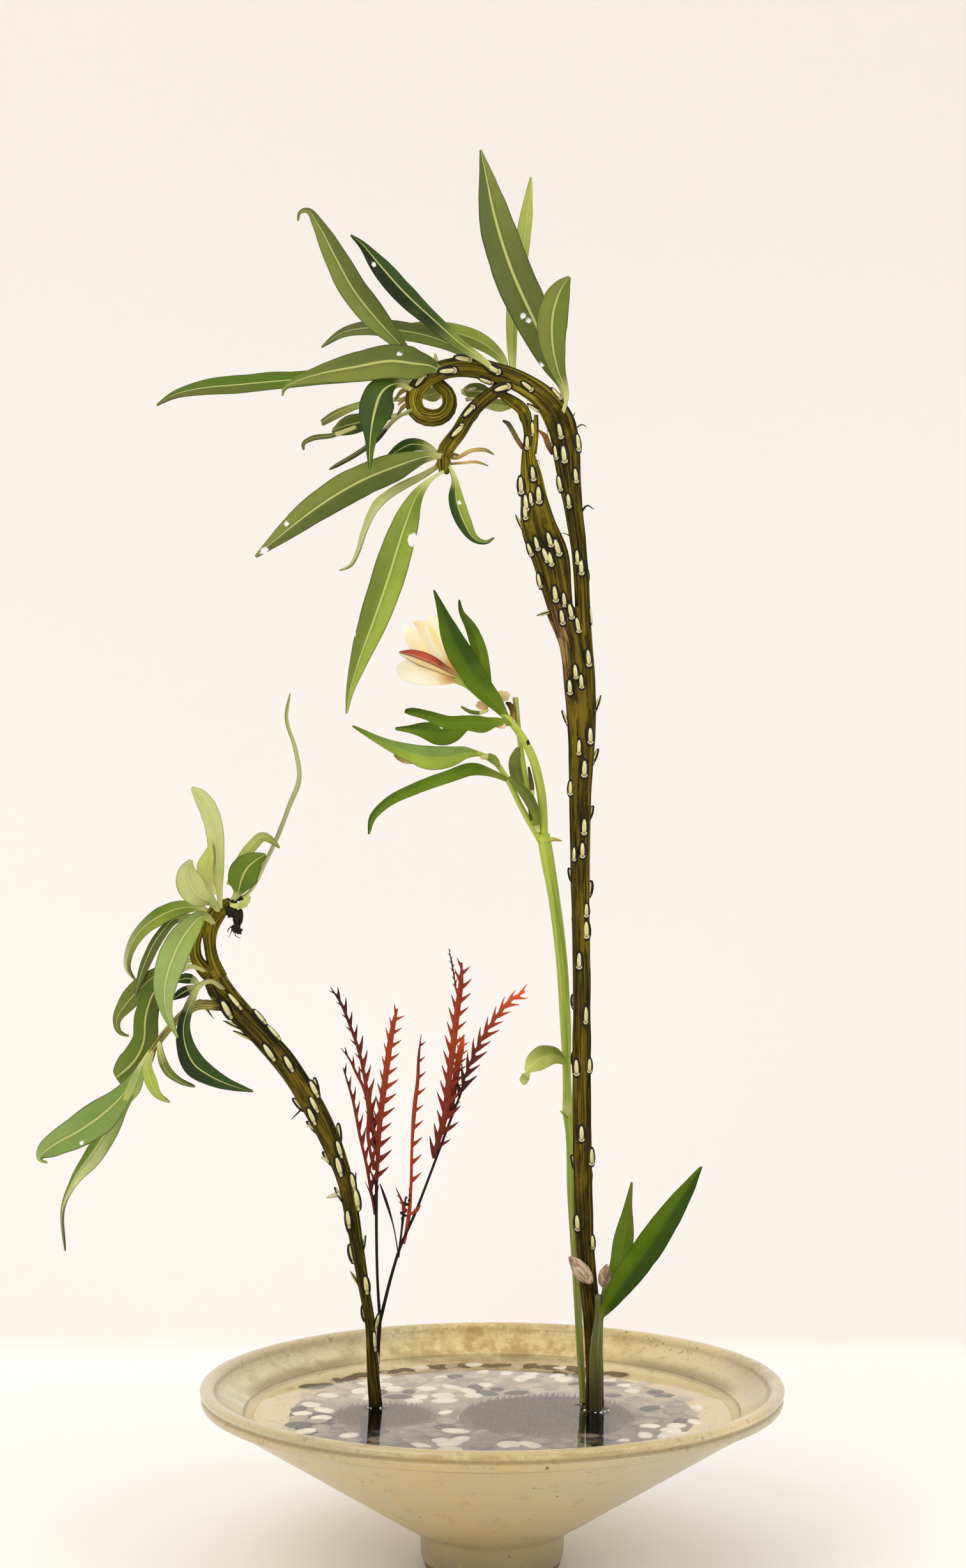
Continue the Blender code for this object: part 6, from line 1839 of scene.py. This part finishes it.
# %% Threads, thorns of old leaf stalks and the blackened tip
# Threads: the colours, then the route as (x, height, near, radius)
THREADS = [
    ("umber ochre umber",
     [(-23, 571, 3, 0.8), (-20, 570, 3, 0.9), (-10, 574, 3, 1.1), (-3, 574, 3, 1.0), (1, 571.8, 3, 0.3)]),
    ("umber ochre umber", [(-22, 567, 3, 0.7), (-15, 567.5, 3, 0.7), (-8, 568, 3, 0.8), (-2, 566, 3, 0.3)]),
    ("soot umber", [(40.5, 582, 3, 0.5), (43.5, 585.5, 3, 0.4), (46.5, 587.3, 3, 0.4), (48.6, 586, 3, 0.2)]),
    ("soot soot", [(45, 541, 3, 0.9), (47.3, 544, 3, 0.6), (48.8, 545.6, 3, 0.5), (52.5, 543.5, 3, 0.2)]),
    ("umber umber", [(21.5, 568, 3, 0.4), (23.6, 569, 3, 0.25), (24.6, 566.5, 3, 0.15)]),
    ("umber umber", [(39.5, 530, 3, 0.4), (38, 531, 3, 0.3), (35.5, 531.2, 3, 0.12)]),
    ("soot umber", [(40, 590, 3, 0.6), (41.6, 591.2, 3, 0.4), (42.6, 593.5, 3, 0.2)]),
    ("bark umber soot",
     [(16, 575, 2, 1.2), (13, 579.5, 2, 1.3), (10, 585, 2, 1.3), (8, 588, 2, 1.2), (5.4, 589.3, 2, 0.5)]),
    ("soot bark bark", [(31.5, 572, 3, 1.2), (29, 577, 3, 1.7), (27.5, 581, 3, 1.5), (23.6, 584.6, 3, 0.4)]),
    ("ochre umber", [(-40.5, 606, 1, 1.3), (-44, 605.5, 1, 1.3), (-47, 604, 1, 1.2), (-50, 600, 1, 0.4)]),
    ("umber ochre", [(-40.5, 602, 1, 1.2), (-46, 600, 1, 1.2), (-48.5, 597, 1, 0.4)]),
    ("ochre umber", [(-40, 598, 1, 1.2), (-45, 597, 1, 1.3), (-49, 592, 1, 0.4)]),
    ("umber straw", [(-14, 604, -2, 1), (-11, 605.4, -2, 1.1), (-8, 606, -2, 0.4)]),
    ("umber straw", [(-13.5, 600, 4, 1), (-11, 600.6, 4, 1), (-8.6, 600.5, 4, 0.4)]),
    ("soot umber", [(-13, 587, 4, 0.8), (-9, 590, 4, 0.8), (-6, 594, 4, 0.3)]),
    ("straw pale", [(-28, 615.5, 2, 1.2), (-29, 620.5, 2, 1.3), (-29.4, 624, 2, 0.5)]),
    ("straw pale", [(-15, 618, 2, 1.1), (-15, 621.5, 2, 0.5)]),
    ("straw pale", [(-12, 616.5, 2, 1.1), (-12, 620, 2, 0.5)]),
    ("umber ochre", [(-25, 571, 3, 1), (-27.5, 568, 3, 1), (-30.5, 564, 3, 0.3)]),
    ("bark umber", [(-24, 570, 3, 1), (-20, 572, 3, 0.9), (-17, 571.4, 3, 0.4)]),
    ("ochre bark soot", [(10, 433, -6, 1), (10.5, 440, -7, 1.6), (8.4, 443.4, -7, 1.3), (7, 444, -7, 0.5)]),
    ("soot soot", [(18.6, 420.6, -4, 0.9), (18, 423, -4, 1.7), (17, 425.4, -4, 0.8)]),
    ("lime ochre", [(27, 372, -4, 1.2), (31, 373.5, -3, 1.2), (36, 372.6, -3, 0.3)]),
    ("umber lime", [(39.5, 230, -8, 0.9), (37.5, 231.5, -8, 0.9), (35, 233.6, -8, 0.3)]),
    ("soot soot", [(-133.5, 329, 2, 0.4), (-136, 327, 2, 0.25), (-136.4, 325.6, 2, 0.12)]),
    ("soot soot", [(-132, 327, 2, 0.4), (-132.4, 324, 2, 0.25), (-129.6, 322.6, 2, 0.12)]),
    ("soot soot", [(-134, 327, 2, 0.3), (-134.6, 325, 2, 0.2), (-136, 323, 2, 0.1)]),
    ("soot soot", [(-98, 234.5, 3, 0.5), (-101, 231.6, 3, 0.4), (-103.6, 229, 3, 0.15)]),
    ("straw straw", [(-77, 190.6, 5, 1.2), (-81.5, 190, 5, 1.3), (-85.4, 188.7, 5, 0.5)]),
    ("straw straw", [(-82, 206.6, 5, 1.2), (-85.2, 208.4, 5, 1.2), (-88, 209.6, 5, 0.4)]),
    ("straw straw", [(-89, 222.4, 5, 1.2), (-92, 225, 5, 1.3), (-95.6, 226, 5, 0.5)]),
    ("umber umber", [(-147, 286, 5, 0.7), (-145.4, 283.6, 5, 0.5), (-143.4, 281, 5, 0.15)]),
    ("soot umber", [(-152, 290, 5, 0.6), (-150, 290.6, 5, 0.6), (-148.6, 289.8, 5, 0.3)]),
]
GREENS |= {"soot": (34, 25, 12), "bark": (120, 84, 36)}
# Lumps of the blackened tip: (x, height, near, width, height, turn); of the beaded stalk: (x, height, size)
LUMPS = [
    (-134, 336.5, 1, 5, 6, 20), (-131.5, 333.5, 1, 4.5, 8, -10), (-129.6, 334, 1, 2.4, 8, 0),
    (-132.2, 328, 1.5, 3.6, 5.5, 30), (-130.4, 326.4, 1.5, 3.2, 3.4, 0), (-136.5, 338, 1, 4, 3.4, 40),
    (-133.6, 341.6, 1, 4.4, 3, 0), (-130.2, 343.2, 1, 3.6, 2.8, 0),
]
BEADS = [
    (-46.4, 178, 1.6), (-44.6, 179.5, 1.4), (-46.8, 181, 1.7), (-44.4, 182.4, 1.5), (-45.6, 183.8, 1.8),
    (-43.8, 185.4, 1.7), (-45.4, 186.2, 1.4), (-42.8, 187.4, 1.6), (-44.2, 188.8, 1.4), (-42.4, 190, 1),
]


# %% Make the threads and lumps
def lump_at(x, z, near, wide, tall, turn):
    """A charred lump: a small sphere nudged out of true, then stretched, turned and placed."""
    deselect()
    bpy.ops.mesh.primitive_ico_sphere_add(subdivisions=3 if wide > 2 else 2, radius=0.5)
    lump = bpy.context.object
    for v in lump.data.vertices:
        v.co *= 1 + 0.55 * noise.noise(v.co * 4.2 + Vector((x, z, 0)))
    x, z = seen(x, z, near)
    lump.data.transform(Matrix.Translation(Vector((x, -near, z)) * MM)
                        @ Matrix.Rotation(radians(turn), 4, "Y")
                        @ Matrix.Diagonal((wide * MM, min(wide, 3) * MM, tall * MM, 1)))
    colour_along(lump, "soot soot")
    return lump


pieces = [stalk(f"thread_{i}", knots, 1.6, 7, stops) for i, (stops, knots) in enumerate(THREADS)]
pieces += [lump_at(*lump) for lump in LUMPS]
pieces += [lump_at(x, z, -6.6, size, size, 0) for x, z, size in BEADS]
threads = joined(pieces, "threads_and_lumps")
bpy.ops.object.shade_smooth()
DRY = painted("dry_thread", 500, 4, (0.55, 0.9), (0.0005, 0.8), Roughness=0.6, Specular_IOR_Level=0.2)
fit(threads, DRY)
print("threads", len(THREADS), "lumps", len(LUMPS) + len(BEADS))

# %% [markdown]
# ## Bubbles
# Where a stem enters still water, a few air bubbles cling to it and catch the window. They are
# tiny spheres, pressed a little flat, half in the water, and painted near white as glints.

# %% Bubbles at the water line
# (x, near, size)
BUBBLES = [
    (47.4, 9.2, 1.5), (49.2, 0.6, 1.1), (52.6, 15, 1.3), (55.4, 14.8, 1.7), (57.4, 13, 1.2),
    (59.4, 10.4, 1.3), (44.8, -5, 1.2), (46, -3.4, 1), (-63.8, 4.4, 1.2), (-62.2, 5, 0.9), (-57.4, 4.6, 1.2),
    (-55.6, 2, 1),
]
pieces = []
for x, near, size in BUBBLES:
    deselect()
    bpy.ops.mesh.primitive_ico_sphere_add(subdivisions=2, radius=0.5 * size * MM)
    bubble = bpy.context.object
    bubble.data.transform(Matrix.Translation(Vector((x * MM, -near * MM, WATER_LEVEL + 0.45 * MM)))
                          @ Matrix.Diagonal((1, 1, 0.75, 1)))
    pieces.append(bubble)
bubbles = joined(pieces, "bubbles")
bpy.ops.object.shade_smooth()
film = Finish("bubble_film", Roughness=0.08, Specular_IOR_Level=0.6, Coat_Weight=0.5)
# Painted glints: the bubbles are near white all over.
painted_glint = film.noise(film.coordinates(), 700, 2).mix(tone(252, 252, 248), tone(214, 216, 206))
fit(bubbles, film.wear(Base_Color=painted_glint))
print("bubbles", len(BUBBLES))

# %% [markdown]
# ## Tidy up
# The blank was only a helper, so it goes.

# %% Finish
bpy.data.objects.remove(blank)
